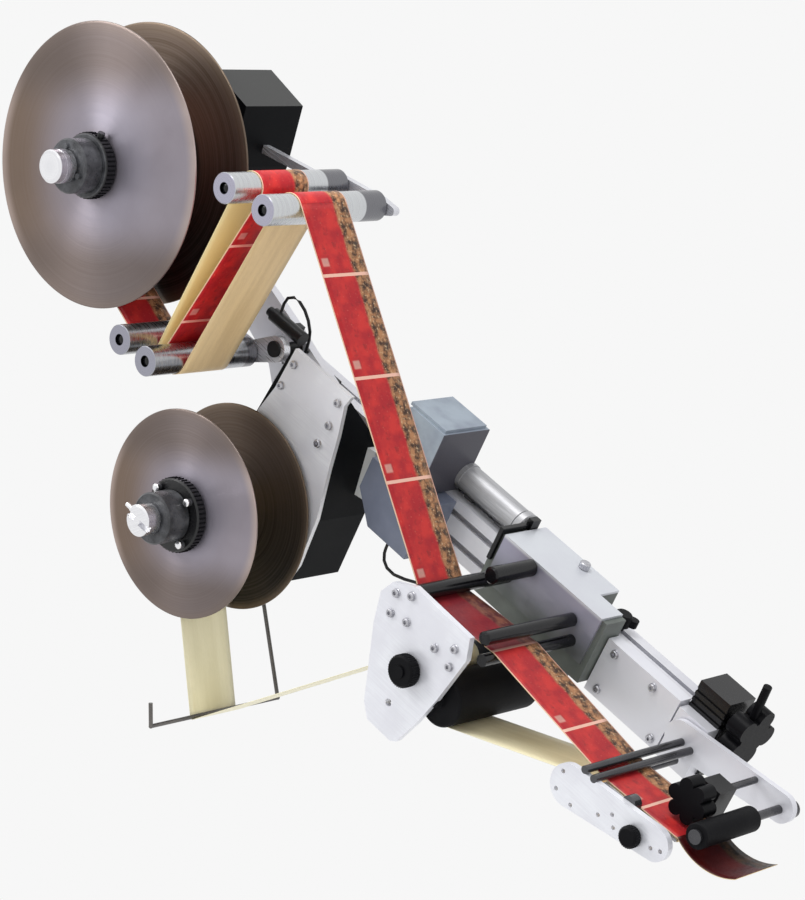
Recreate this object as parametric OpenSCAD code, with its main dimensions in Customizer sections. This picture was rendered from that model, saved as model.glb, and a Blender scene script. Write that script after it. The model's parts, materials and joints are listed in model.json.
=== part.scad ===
/* [Machine] */
// Slope of the beam, down to the right
tilt = 30; // [20:1:40]
// Width of the label web
web_w = 76; // [60:1:79]
// Clear gap between the two discs of each reel
reel_gap = 82; // [80:1:96]
// Thickness of a reel disc
disc_t = 3; // [2:0.5:5]
// Diameter of the reel shafts
shaft_d = 20; // [16:1:24]
// Diameter of the cores that the rolls are wound on
core_d = 76; // [60:1:78]

/* [Beam] */
// Depth of the beam, front to rear
beam_w = 40; // [36:1:50]
// Height of the beam
beam_h = 64; // [60:1:80]
// Length of the beam
beam_len = 745; // [740:5:760]
// Distance from the unwinding axis to the beam's upper end
beam_start = 240; // [236:1:244]
// Drop of the beam's top face below the unwinding axis
beam_drop = 124; // [122:1:128]
// Distance from the rear discs to the beam's front face
beam_set_back = 95; // [92:1:100]

/* [Carrier mount] */
// Diameter of the carrier flange
flange_d = 96; // [90:1:110]
// Thickness of the carrier flange
flange_t = 12; // [8:1:20]
// Bolt circle of the carrier flange
flange_pcd = 74; // [70:1:78]
// Diameter of the carrier bolt holes
flange_hole_d = 9; // [6:0.5:11]
// Distance along the beam from the unwinding axis to the carrier
carrier_x = 700; // [600:5:760]

/* [Unwinding reel] */
// Diameter of the unwinding discs
unwind_disc_d = 343; // [320:1:352]
// Outer diameter of the label roll
label_roll_d = 176; // [120:2:200]
// Width of the unwinder's housing, along the beam
unwind_box_w = 148; // [140:2:156]
// Height of the unwinder's housing
unwind_box_h = 187; // [180:1:190]
// Diameter of the unwinding clamp hub
unwind_hub_d = 78; // [66:1:90]
// Diameter of the unwinding clamp knob
unwind_knob_d = 40; // [30:1:50]

/* [Rewinding reel] */
// Diameter of the rewinding discs
rewind_disc_d = 250; // [220:5:255]
// Diameter of the rewinder's core
rewind_core_d = 36; // [28:1:60]
// Outer diameter of the wound liner
liner_roll_d = 48; // [40:2:130]
// Distance along the beam from the unwinding to the rewinding axis
rewind_x = 327; // [322:1:334]
// Drop of the rewinding axis below the unwinding axis
rewind_drop = 282; // [276:1:290]
// Width of the rewinder's housing, along the beam
rewind_box_w = 146; // [140:1:150]
// Height of the rewinder's housing at its front
rewind_box_h = 243; // [236:1:250]
// Diameter of the rewinding clamp hub
rewind_hub_d = 88; // [70:1:100]

/* [Guide rollers] */
// Diameter of the guide rollers
roller_d = 36; // [28:1:38]
// Diameter of the fixed spindles in the guide rollers
spindle_d = 12; // [8:1:16]
// Reach of the guide rollers in front of the front discs
roller_reach = 40; // [30:1:60]
// Length of the guide rollers
roller_len = 188; // [180:1:196]

/* [Drive unit] */
// Diameter of the rubber drive roller
drive_roller_d = 60; // [50:1:62]
// Diameter of the pressure roller
pressure_roller_d = 32; // [26:1:36]
// Diameter of the entry bar
entry_bar_d = 18; // [12:1:20]
// Diameter of the hold-down bar
hold_bar_d = 16; // [10:1:18]
// Thickness of the front plates
front_plate_t = 8; // [5:0.5:10]
// Width of the drive unit's front plate, along the beam
drive_plate_w = 138; // [130:1:142]
// Height of the drive unit's front plate
drive_plate_h = 172; // [165:1:180]
// Diameter of the nip pressure knob
nip_knob_d = 36; // [28:1:44]

/* [Label dispenser] */
// Length of the peeling blade
blade_len = 100; // [90:1:106]
// Thickness of the peeling blade
blade_t = 5; // [3:0.5:5]
// Diameter of the two dispenser rods
rod_d = 9; // [6:0.5:10]
// Diameter of the press-on roller
press_roller_d = 28; // [22:1:30]
// Diameter of the star knob above the blade
star_knob_d = 50; // [40:1:50]
// Diameter of the lock knob at the beam's lower end
lock_knob_d = 74; // [60:1:80]

/* [Hidden] */
$fn = 64;

// Clearances and overruns
fit = 0.05;
gap = 0.3;
over = 1;
wall = 3;

// Stations from front to rear, counted from the front discs' rear faces
disc_back = reel_gap + disc_t;
beam_y = disc_back + beam_set_back;
support_t = 12;
support_y = beam_y - support_t;
unwind_box_gap = 18;
unwind_box_y = disc_back + unwind_box_gap;
unwind_box_behind = 20;
unwind_box_depth = beam_y + unwind_box_behind - unwind_box_y;
rewind_box_gap = 10;
rewind_box_y = disc_back + rewind_box_gap;
roller_y = -roller_reach;
bracket_t = 10;
bracket_y = roller_y + roller_len + over;
casing_depth = 35;
casing_y = beam_y - casing_depth;
panel_t = 3;
panel_y = casing_y - panel_t;
drive_plate_lead = 22;
drive_plate_y = -drive_plate_lead;
drive_inner_y = drive_plate_y + front_plate_t;
peel_plate_lead = 20;
peel_plate_y = -peel_plate_lead;
peel_inner_y = peel_plate_y + front_plate_t;
web_y = (reel_gap - web_w) / 2;

// Beam profile and ends
beam_top = -beam_drop;
beam_base = beam_top - beam_h;
beam_end = beam_start + beam_len;
slot_mouth = 8;
slot_lip = 3;
slot_inner = 15;
slot_depth = 10;
core_hole_d = 7;
core_hole_share = 0.5;
slot_row_share = 0.27;
cap_t = 4;
cover_strip_start = 20;
cover_strip_len = 52;
cover_strip_proud = 2;

// Carrier mount
mount_drop = 15;
boss_d = 50;
boss_len = 26;
boss_bore_d = 26;
bolt_count = 4;
mount_x = carrier_x;
mount_y = beam_y + beam_w + boss_len + flange_t;
mount_z = beam_top - beam_h / 2 - mount_drop;

// Screws
screw_d = 5;
screw_head_d = 9;
screw_head_h = 4;
screw_head_edge = 0.7;
hex_sides = 6;
hex_d = 4.6;
hex_depth = 2.4;

// Unwinder housing
unwind_box_left = 40;
unwind_box_below = 40;
unwind_box_shares = [[0, 0], [1, 0], [1, 0.53], [0.91, 0.94], [0.45, 1], [0, 0.775]];
unwind_outline = shares_at(unwind_box_shares, -unwind_box_left, -unwind_box_below,
    unwind_box_w, unwind_box_h);
bearing_w = 12;
bearing_d = 42;
bearing_boss_d = 54;
unwind_boss_len = 54;
rewind_boss_len = 54;
shaft_hole_d = 32;

// Support plate outline and screws, as shares of its length and height
support_start = 50;
support_past_rewinder = 29;
support_end = rewind_x + support_past_rewinder;
support_len = support_start + support_end;
support_gap = 8;
support_under = 2;
support_top = -unwind_box_below - support_gap;
support_base = beam_base - support_under;
support_h = support_top - support_base;
support_shares = [[0, 1], [0.35, 1], [0.59, 0.845], [0.74, 0.72], [0.8, 0.66], [0.99, 0.5],
    [1, 0], [0.77, 0], [0.68, 0.28], [0.42, 0.56], [0.12, 0.7], [0, 0.84]];
support_screw_shares = [[0.735, 0.22], [0.735, 0.4], [0.81, 0.1], [0.81, 0.38]];
foot_depth = 60;

// Reels
disc_edge = 1;
core_groove_w = 2;
core_groove_count = 6;
unwind_hub_base_t = 18;
unwind_hub_body_d = 66;
unwind_hub_body_t = 27;
unwind_knob_t = 27;
knob_stud_d = 10;
hub_front_wall = 11;
hub_screw_count = 3;
hub_screw_pcd_share = 0.72;
hub_screw_d = 7;
hub_screw_h = 3;
lug_d = 9;
lug_len = 12;
rewind_hub_base_t = 15;
rewind_hub_body_d = 62;
rewind_hub_body_t = 34;
rewind_pin_count = 4;
rewind_pin_d = 9;
rewind_pin_turn = 30;
rewind_pin_len = 9;
rewind_pin_pcd_share = 0.85;
rewind_knob_d = 38;
rewind_knob_t = 22;
rewind_slot_w = 7;
rewind_slot_depth = 6;
rewind_spike_d = 6;
rewind_spike_len = 14;
knob_edge = 2;

// Rewinder
rewind_z = -rewind_drop;
rewind_box_left = 33;
rewind_box_x = rewind_x - rewind_box_left;
rewind_box_below = 31;
rewind_box_z = rewind_z - rewind_box_below;
rewind_box_shares = [[0, 0], [1, 0], [1, 0.36], [0.82, 1], [0.09, 1], [0, 0.6]];
rewind_points = shares_at(rewind_box_shares, rewind_box_x, rewind_box_z, rewind_box_w, rewind_box_h);
rewind_side = rewind_points[3] - rewind_points[2];
rewind_cut_turn = 40;
rewind_plate_t = 6;
rewind_plate_y = rewind_box_y - rewind_plate_t;
rewind_plate_left = 27;
rewind_plate_below = 36;
rewind_plate_w = 147;
rewind_plate_h = 256;
rewind_plate_shares = [[0.11, 1], [0.81, 1], [0.78, 0.94], [0.84, 0.8], [0.89, 0.63], [0.98, 0.39], [1, 0.13],
    [0.95, 0], [0, 0], [0, 0.62], [0.07, 0.77]];
rewind_plate_screws = [[0.12, 0.8], [0.16, 0.93], [0.71, 0.93], [0.72, 0.81], [0.69, 0.7]];
cover_t = 3;
connector_y = 151;
connector_w = 18;
connector_h = 62;
connector_t = 14;
connector_dot_d = 5;
connector_dot_count = 3;
connector_side_share = 0.58;
connector_seat = rewind_points[2] + connector_side_share * rewind_side;
connector_lean = -atan2(rewind_side[0], rewind_side[1]);

// Guide rollers: two fixed above, two on the dancer arm below
roller_1_x = 232;
roller_1_z = 110;
roller_2_x = 296;
roller_2_z = 120;
roller_3_x = 172;
roller_3_z = -134;
roller_4_x = 221;
roller_4_z = -132;
dancer_x = 258;
dancer_z = -104;
roller_mouth_d = 13;
roller_mouth_depth = 9;
dancer_roller_lead = 3;
dancer_roller_y = roller_y - dancer_roller_lead;
dancer_arm_t = 10;
dancer_arm_before_support = 41;
dancer_arm_y = support_y - dancer_arm_before_support;
dancer_roller_len = dancer_arm_y - over - dancer_roller_y;
dancer_arm_w = 26;
dancer_hub_d = 32;
dancer_pin_d = 14;
dancer_cap_t = 3;
bracket_bar_h = 22;
bracket_arm_h = 10;
bracket_tail_rise = 5.5;
bracket_root_z = 82;
bracket_tail = 22;
sensor_d = 18;
sensor_x = 218;
sensor_len = 56;
sensor_z = -82;
sensor_lead = 13;
sensor_y = dancer_arm_y + dancer_arm_t + sensor_lead;
sensor_nose_d = 12;
sensor_nose_len = 8;
sensor_clip_w = 10;

// Liner guide wire
wire_d = 5;
wire_reach = 130;
wire_x = rewind_x + wire_reach;
wire_fall = 207;
wire_z = rewind_z - wire_fall;
wire_pivot_set = 12;
wire_pivot_x = rewind_x - wire_pivot_set;
wire_pivot_drop = 15;
wire_pivot_z = rewind_box_z - wire_pivot_drop;
wire_front = 64;
wire_rear_y = 149;
wire_collar_d = 18;
wire_collar_w = 16;
wire_pin_d = 8;
wire_hook_h = 28;
wire_bend_swell = 0.5;
wire_lug_w = 8;
wire_lug_h = 26;

// Boxes on the beam
gearbox_past_rewinder = 27;
gearbox_x = rewind_box_x + rewind_box_w + gearbox_past_rewinder;
gearbox_w = 68;
gearbox_h = 84;
gearbox_lead = 55;
gearbox_depth = 80;
gearbox_corner = 6;
gearbox_lid_t = 4;
control_past_rewinder = 12;
control_x = rewind_box_x + rewind_box_w + control_past_rewinder;
control_w = 100;
control_h = 76;
control_depth = 50;
control_cut = 34;
control_drop = 4;
motor_d = 34;
motor_cap_len = 12;
motor_clear = 3;
motor_cap_d = 36;
motor_saddle_h = 1.5;
motor_saddle_w = 14;
motor_set = 20;
motor_z = beam_top + motor_saddle_h + motor_cap_d / 2;

// Drive unit
drive_share = 0.70336;
drive_x = beam_start + drive_share * beam_len;
drive_z = -220;
pressure_turn = 165;
nip_gap = 1.5;
pressure_reach = (drive_roller_d + pressure_roller_d) / 2 + nip_gap;
pressure_x = drive_x + pressure_reach * cos(pressure_turn);
pressure_z = drive_z + pressure_reach * sin(pressure_turn);
drive_plate_before_drive = 121;
drive_plate_x = drive_x - drive_plate_before_drive;
drive_plate_z = -295;
drive_plate_shares = [[0.07, 0.915], [0.28, 1], [0.94, 0.99], [1, 0.845], [0.91, 0.47], [0.835, 0.245],
    [0.74, 0.03], [0.68, 0], [0.4, 0], [0.3, 0.085], [0.06, 0.59], [0, 0.8]];
drive_screw_shares = [[0.145, 0.87], [0.29, 0.93], [0.35, 0.76], [0.69, 0.76], [0.86, 0.855],
    [0.885, 0.73], [0.175, 0.73]];
drive_hole_share = [0.515, 0.21];
drive_hole_d = 9;
drive_shaft_d = 16;
drive_journal_d = 12;
drive_roller_y = -8;
drive_roller_len = 138;
press_arm_pivot_before_drive = 64;
press_arm_pivot_x = drive_x - press_arm_pivot_before_drive;
press_arm_pivot_z = -262;
press_arm_t = 7;
press_arm_w = 18;
press_pin_d = 10;
press_roller_len = 112;
press_roller_front = -2;
press_arm_gap = 1;
nip_knob_before_drive = 44;
nip_knob_x = drive_x - nip_knob_before_drive;
nip_knob_z = -208;
nip_knob_t = 16;
nip_knob_cap_d = 14;
nip_knob_cap_t = 2;
nip_stud_d = 10;
casing_before_drive = 119;
casing_x = drive_x - casing_before_drive;
casing_w = 177;
casing_rise = 26;
casing_h = 82;
casing_top = beam_top + casing_rise;
casing_base = casing_top - casing_h;
neck_w = 48;
neck_shift = 24;
drive_boss_d = 48;
boss_wall = 5;
motor_len = casing_x - gearbox_x - gearbox_w - motor_cap_len - motor_clear;
panel_before_drive = 109;
panel_x = drive_x - panel_before_drive;
panel_w = 160;
panel_h = 60;
panel_top_w = 123;
saddle_depth = 35;
top_bolt_before_drive = 32;
top_bolt_x = drive_x - top_bolt_before_drive;
top_bolt_d = 13;
top_bolt_h = 8;
entry_bar_before_drive = 84;
entry_bar_x = drive_x - entry_bar_before_drive;
entry_bar_z = -134;
hold_bar_past_drive = 18;
hold_bar_x = drive_x + hold_bar_past_drive;
hold_bar_z = -120;
exit_bar_past_drive = 28;
exit_bar_x = drive_x + exit_bar_past_drive;
exit_bar_z = -142;
exit_bar_d = 14;
hold_bar_front = -12;
thread_rod_d = 20;
thread_rod_before_drive = 59;
thread_rod_x = drive_x - thread_rod_before_drive;
thread_rod_z = -105;
thread_rod_front_y = 70;
strap_before_drive = 118;
strap_x = drive_x - strap_before_drive;
strap_w = 5;
strap_z = -133;
strap_top_z = -90;
strap_len = 48;
strap_head_w = 8;
strap_head_d = 14;
strap_head_h = 14;
clamp_past_drive = 42;
clamp_x = drive_x + clamp_past_drive;
clamp_stud_d = 7;
clamp_stud_len = 2.5;
clamp_stem_h = 4;
clamp_stem_d = 14;
clamp_wing_turn = 40;
clamp_hub_d = 22;
clamp_hub_t = 16;
clamp_wing_rise = 8;
clamp_wing_w = 12;
clamp_wing_len = 26;
clamp_wing_h = 9;

// Dispenser
rod_a_before_end = 18;
rod_a_x = beam_end - rod_a_before_end;
rod_a_z = -150;
rod_b_before_end = 4;
rod_b_x = beam_end - rod_b_before_end;
rod_b_z = -151;
rod_c_before_end = 15;
rod_c_x = beam_end - rod_c_before_end;
rod_c_z = -172.5;
rod_c_d = 10;
rod_rear_over = 12;
peel_rear_t = 8;
peel_rear_gap = 2;
blade_past_end = 1;
blade_x = beam_end + blade_past_end;
blade_rise_turn = 3.5;
blade_rest = 0.5;
blade_nose_d = 3;
peel_left_before_end = 27;
peel_left_x = beam_end - peel_left_before_end;
peel_left_z = -179;
peel_left_d = 48;
peel_right_past_end = 91;
peel_right_x = beam_end + peel_right_past_end;
peel_right_z = -160;
peel_right_d = 38;
peel_hole_shares = [[0.07, 0.7], [0.08, 0.24], [0.23, 0.17], [0.44, 0.48], [0.53, 0.73], [0.58, 0.5],
    [0.88, 0.77], [0.95, 0.87]];
rear_left_before_end = 23;
rear_left_x = beam_end - rear_left_before_end;
rear_left_z = -148;
rear_left_d = 40;
rear_right_past_end = 119;
rear_right_x = beam_end + rear_right_past_end;
rear_right_z = -130;
rear_right_d = 34;
peel_knob_past_end = 67;
peel_knob_x = beam_end + peel_knob_past_end;
peel_knob_z = -169;
peel_knob_d = 23;
peel_knob_t = 12;
peel_stud_d = 8;
edge_stop_past_end = 41;
edge_stop_x = beam_end + edge_stop_past_end;
edge_stop_z = -150;
edge_stop_d = 18;
press_past_end = 119;
press_x = beam_end + press_past_end;
press_z = -132;
press_y = 2;
press_len = 96;
press_core_d = 10;
press_cap_d = 16;
press_cap_t = 3;
end_knob_past_end = 124;
end_knob_x = beam_end + end_knob_past_end;
end_knob_z = -131;
end_knob_d = 20;
end_knob_t = 12;
sensor_rod_past_end = 79;
sensor_rod_x = beam_end + sensor_rod_past_end;
sensor_rod_z = -124;
sensor_rod_d = 8;
sensor_block_y = 62;
sensor_block_w = 26;
sensor_block_depth = 30;
sensor_block_above = 12;
sensor_block_h = 34;
star_y = 26;
star_knob_t = 22;
star_len = 34;
star_stem_d = 20;
star_bore_len = 11;
star_lobes = 6;
star_lobe_d_share = 0.34;
star_waist_share = 0.626;
carriage_t = 20;
carriage_before_end = 45;
carriage_x = beam_end - carriage_before_end;
carriage_under = 2;
saddle_h = 34;
saddle_over = 4;
saddle_rib_count = 3;
saddle_rib_w = 4;
saddle_rib_depth = 2;
lock_z_rise = 6;
lock_knob_t = 22;
lock_knob_turn = 18;
lock_stem_d = 14;
lock_stem_len = 6;
lock_lever_len = 68;
lock_lever_d = 10;
lock_lever_turn = 8;
peel_rear_y = beam_y - carriage_t - peel_rear_gap - peel_rear_t;

// Middle block on the beam
mid_gap = 2;
mid_x = casing_x + casing_w + mid_gap;
mid_w = carriage_x - mid_gap - mid_x;
mid_t = 20;
mid_rise = 6;
mid_screw_shares = [[0.14, 0.85], [0.67, 0.85], [0.14, 0.15], [0.9, 0.12]];

// Label web and liner
web_t = 0.6;
web_half = web_t / 2;
web_join = 1.2;
liner_w = web_w;
label_out_len = 84;
label_out_steps = 10;
label_out_start_turn = -26;
label_out_end_turn = 42;
arc_step = 10;

// Cables, held at both ends: points chosen by hand along each route
cable_d = 4;
cable_sides = 8;
cable_frame = [1, 0.2, 0.1];
sensor_cable_route = [[226, 151, -72.7], [225, 151, -62], [228, 150, -52], [236, 150, -46],
    [246, 151, -46], [256, 154, -52], [264, 158, -62], [270, 161.5, -74], [273, 162.5, -84],
    [274, 163, -93], [274, 163.5, -101], [274, 167.7, -101]];
loop_cable_inset = 32;
loop_cable_x = control_x + control_w - loop_cable_inset;
loop_cable_span = casing_x - gap - loop_cable_x;
loop_cable_points = [[0, 134, -204.3], [0, 134, -211], [1, 134, -218], [5, 134, -226], [13, 134, -231],
    [25, 135, -232], [40, 137, -228], [58, 140, -221], [76, 144, -211], [92, 149, -199], [105, 154, -187],
    [115, 158, -177], [121, 160, -171.5], [124.7, 160.3, -170]];
loop_cable_reach = 124.7;
loop_cable_route = [for (p = loop_cable_points)
    [loop_cable_x + p[0] * loop_cable_span / loop_cable_reach, p[1], p[2]]];
case_cable_points = [[19, 124.7, -66], [19, 122.5, -66], [18.7, 119.5, -67.8], [18.2, 117.6, -71.5],
    [17.6, 117, -76], [17, 117, -84], [21, 117, -98], [28, 118, -112], [34, 119, -122],
    [39, 121.5, -130], [42, 125.5, -136], [42, 129.7, -136]];
case_cable_route = [for (p = case_cable_points) [gearbox_x + p[0], p[1], p[2]]];

// place: from the beam's own directions, along x, to the rear y and square to it z, to the part's
module place() {
    rotate([0, tilt, 0]) translate([-mount_x, -mount_y, -mount_z]) children();
}

// spin: a turned piece whose axis runs to the rear from the point x, y, z
module spin(x, y, z) {
    translate([x, y, z]) rotate([-90, 0, 0]) children();
}

// slab: an outline drawn along the beam and square to it, thick towards the rear
module slab(y, thick) {
    translate([0, y + thick, 0]) rotate([90, 0, 0]) linear_extrude(thick) children();
}

module block(x, y, z, w, d, h) {
    translate([x, y, z]) cube([w, d, h]);
}

module ring(outer_d, inner_d, len) {
    difference() {
        cylinder(h = len, d = outer_d);
        translate([0, 0, -over]) cylinder(h = len + 2 * over, d = inner_d);
    }
}

// bevelled: a cylinder with both edges cut at 45 degrees
module bevelled(d, len, edge) {
    rotate_extrude() polygon([[0, 0], [d / 2 - edge, 0], [d / 2, edge], [d / 2, len - edge],
        [d / 2 - edge, len], [0, len]]);
}

function shares_at(shares, x, z, w, h) = [for (p = shares) [x + p[0] * w, z + p[1] * h]];

// holes: a row of screw holes to the rear
module holes(places, y, len) {
    for (p = places) spin(p[0], y - over, p[1]) cylinder(h = len + 2 * over, d = screw_d + 2 * fit);
}

// screws: socket screws with their heads to the front
module screws(places, y, len) {
    for (p = places) spin(p[0], y - screw_head_h, p[1]) difference() {
        union() {
            bevelled(screw_head_d, screw_head_h, screw_head_edge);
            cylinder(h = screw_head_h + len, d = screw_d);
        }
        translate([0, 0, -over]) cylinder(h = hex_depth + over, d = hex_d, $fn = hex_sides);
    }
}

// link: the outline of a bar with two round ends, tangent to both
module link(x0, z0, d0, x1, z1, d1) {
    reach = norm([x1 - x0, z1 - z0]);
    lean = atan2(z1 - z0, x1 - x0);
    open = acos((d0 - d1) / 2 / reach);
    translate([x0, z0]) circle(d = d0);
    translate([x1, z1]) circle(d = d1);
    polygon([for (a = [lean + open, lean - open]) [x0, z0] + d0 / 2 * [cos(a), sin(a)],
        for (a = [lean - open, lean + open]) [x1, z1] + d1 / 2 * [cos(a), sin(a)]]);
}

// Belts: each stop is [x, z, r], with r above zero where the belt turns left round it
function left_of(a) = [-sin(a), cos(a)];
function stop_at(s) = [s[0], s[1]];
function heading(a, b) = let(d = stop_at(b) - stop_at(a))
    atan2(d[1], d[0]) - asin((b[2] - a[2]) / norm(d));
function leave(a, b, ahead) = let(h = heading(a, b))
    stop_at(a) - a[2] * left_of(h) + ahead * [cos(h), sin(h)];
function reach(a, b, ahead) = let(h = heading(a, b))
    stop_at(b) - b[2] * left_of(h) + ahead * [cos(h), sin(h)];
function full_turn(a) = a - 360 * floor(a / 360);
function turning(h0, h1, r) = let(a = full_turn(h1 - h0))
    r > 0 ? a : r < 0 ? a - 360 : a > 180 ? a - 360 : a;
function belt_side(stops, heads, off) = [for (i = [0 : len(stops) - 1])
    let(h0 = heads[max(i - 1, 0)], h1 = heads[min(i, len(heads) - 1)],
        r = stops[i][2], t = h0 == h1 ? 0 : turning(h0, h1, r), n = max(1, ceil(abs(t) / arc_step)))
    each t == 0 || r == 0 ? [stop_at(stops[i]) - (r + off) / cos(t / 2) * left_of(h0 + t / 2)]
        : [for (k = [0 : n]) stop_at(stops[i]) - (r + off) * left_of(h0 + t * k / n)]];
function turned_round(list) = [for (i = [len(list) - 1 : -1 : 0]) list[i]];
function belt_outline(stops, thick) = let(
    heads = [for (i = [0 : len(stops) - 2]) heading(stops[i], stops[i + 1])])
    concat(belt_side(stops, heads, -thick / 2), turned_round(belt_side(stops, heads, thick / 2)));
function bend(x, z, d, side) = [x, z, side * (d / 2 + gap + web_half)];
function free_end(p) = [p[0], p[1], 0];

module belt(stops, y, width) {
    slab(y, width) polygon(belt_outline(stops, web_t));
}

// tube: a bent round cable, swept along its points
module tube(route, d, sides) {
    last = len(route) - 1;
    function way(i) = let(v = route[min(i + 1, last)] - route[max(i - 1, 0)]) v / norm(v);
    function side_of(v) = let(s = cross(v, cable_frame)) s / norm(s);
    rings = [for (i = [0 : last]) let(v = way(i), s = side_of(v), u = cross(v, s))
        for (k = [0 : sides - 1]) let(a = 360 * k / sides) route[i] + d / 2 * (s * cos(a) + u * sin(a))];
    walls = [for (i = [0 : last - 1], k = [0 : sides - 1]) let(n = (k + 1) % sides)
        each [[i * sides + k, i * sides + n, (i + 1) * sides + n],
            [i * sides + k, (i + 1) * sides + n, (i + 1) * sides + k]]];
    ends = [[for (k = [sides - 1 : -1 : 0]) k], [for (k = [0 : sides - 1]) last * sides + k]];
    polyhedron(points = rings, faces = concat(walls, ends));
}

// star: the outline of a knob with round lobes
module star(d, lobes) {
    lobe_d = d * star_lobe_d_share;
    circle(d = d * star_waist_share);
    for (i = [0 : lobes - 1]) rotate(360 * i / lobes) translate([(d - lobe_d) / 2, 0]) circle(d = lobe_d);
}

unwind_roll = [0, 0, label_roll_d / 2 + gap + web_half];
rewind_roll = [rewind_x, rewind_z, -(liner_roll_d / 2 + gap + web_half)];
bend_1 = bend(roller_1_x, roller_1_z, roller_d, -1);
bend_2 = bend(roller_2_x, roller_2_z, roller_d, -1);
bend_3 = bend(roller_3_x, roller_3_z, roller_d, 1);
bend_4 = bend(roller_4_x, roller_4_z, roller_d, 1);
bend_entry = bend(entry_bar_x, entry_bar_z, entry_bar_d, 1);
bend_exit = bend(exit_bar_x, exit_bar_z, exit_bar_d, -1);
bend_a = bend(rod_a_x, rod_a_z, rod_d, 1);
bend_b = bend(rod_b_x, rod_b_z, rod_d, 1);
blade_root_z = rod_b_z - bend_b[2] - web_half - blade_rest - blade_t / 2;
nose_x = blade_x + blade_len;
nose_z = rod_b_z - bend_b[2] + blade_len * tan(blade_rise_turn) - gap - web_half - blade_nose_d / 2;
bend_nose = bend(nose_x, nose_z, blade_nose_d, -1);
bend_c = bend(rod_c_x, rod_c_z, rod_c_d, 1);
bend_drive = bend(drive_x, drive_z, drive_roller_d, -1);
bend_nip = bend(pressure_x, pressure_z, pressure_roller_d, 1);
bend_wire = bend(wire_x, wire_z, wire_d, -1);

module beam_profile() {
    difference() {
        square([beam_w, beam_h]);
        for (z = [0, beam_h]) translate([beam_w / 2, z]) t_slot(z == 0 ? 0 : 180);
        for (y = [0, beam_w], share = [slot_row_share, 1 - slot_row_share])
            translate([y, beam_h * share]) t_slot(y == 0 ? -90 : 90);
        translate([beam_w / 2, beam_h * core_hole_share]) circle(d = core_hole_d);
    }
}

// t_slot: the cut of one slot, its mouth on the x axis and its hollow above it
module t_slot(turn) {
    rotate(turn) {
        translate([-slot_mouth / 2, -over]) square([slot_mouth, slot_lip + 2 * over]);
        translate([-slot_inner / 2, slot_lip]) square([slot_inner, slot_depth - slot_lip]);
    }
}

module backbone() {
    color("silver") place() translate([beam_start, beam_y, beam_base])
        rotate([90, 0, 90]) linear_extrude(beam_len) beam_profile();
}

module beam_trim() {
    color("#202020") place() {
        for (x = [beam_start - cap_t, beam_end]) block(x, beam_y, beam_base, cap_t, beam_w, beam_h);
        block(beam_start + cover_strip_start, beam_y + (beam_w - slot_mouth) / 2 + fit,
            beam_top - slot_lip, cover_strip_len, slot_mouth - 2 * fit, slot_lip + cover_strip_proud);
        difference() {
            block(carriage_x, beam_y - saddle_over, beam_top, beam_end - carriage_x,
                beam_w + 2 * saddle_over, saddle_h);
            for (i = [0 : saddle_rib_count - 1])
                block(carriage_x - over, beam_y - saddle_over - over, beam_top + saddle_rib_w * (2 * i + 1),
                    beam_end - carriage_x + 2 * over, saddle_rib_depth + over, saddle_rib_w);
        }
    }
}

module carrier_flange() {
    color("silver") place() spin(mount_x, beam_y + beam_w, mount_z) difference() {
        union() {
            cylinder(h = boss_len + flange_t, d = boss_d);
            translate([0, 0, boss_len]) cylinder(h = flange_t, d = flange_d);
        }
        translate([0, 0, flange_t]) cylinder(h = boss_len + flange_t, d = boss_bore_d);
        for (i = [0 : bolt_count - 1]) rotate(45 + 360 * i / bolt_count)
            translate([flange_pcd / 2, 0, boss_len - over])
                cylinder(h = flange_t + 2 * over, d = flange_hole_d);
    }
}

module mid_block() {
    h = beam_h + mid_rise;
    color("gainsboro") place() difference() {
        block(mid_x, beam_y - mid_t, beam_base, mid_w, mid_t, h);
        holes(shares_at(mid_screw_shares, mid_x, beam_base, mid_w, h), beam_y - mid_t, mid_t);
    }
}

function rewind_plate_at(shares) = shares_at(shares, rewind_x - rewind_plate_left,
    rewind_z - rewind_plate_below, rewind_plate_w, rewind_plate_h);

// support_plate: the plate between beam and unwinder, and the rewinder's front plate
module support_plate() {
    color("gainsboro") place() {
        difference() {
            slab(support_y, support_t)
                polygon(shares_at(support_shares, -support_start, support_base, support_len, support_h));
            holes(shares_at(support_screw_shares, -support_start, support_base, support_len, support_h),
                support_y, support_t);
            spin(dancer_x, support_y - over, dancer_z)
                cylinder(h = support_t + 2 * over, d = dancer_pin_d);
        }
        block(-support_start, beam_y - foot_depth, support_top,
            support_start + unwind_box_w - unwind_box_left, foot_depth, support_gap);
        difference() {
            slab(rewind_plate_y, rewind_plate_t) polygon(rewind_plate_at(rewind_plate_shares));
            holes(rewind_plate_at(rewind_plate_screws), rewind_plate_y, rewind_plate_t);
            spin(rewind_x, rewind_plate_y - over, rewind_z)
                cylinder(h = rewind_plate_t + 2 * over, d = shaft_hole_d);
        }
    }
}

module frame_screws() {
    h = beam_h + mid_rise;
    color("dimgray") place() {
        screws(shares_at(support_screw_shares, -support_start, support_base, support_len, support_h),
            support_y, support_t);
        screws(rewind_plate_at(rewind_plate_screws), rewind_plate_y, rewind_plate_t - gap);
        screws(shares_at(mid_screw_shares, mid_x, beam_base, mid_w, h), beam_y - mid_t, mid_t);
        screws(shares_at(drive_screw_shares, drive_plate_x, drive_plate_z, drive_plate_w, drive_plate_h),
            drive_plate_y, front_plate_t);
        translate([top_bolt_x, beam_y + beam_w / 2, casing_top + panel_t])
            bevelled(top_bolt_d, top_bolt_h, over);
    }
}

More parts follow.
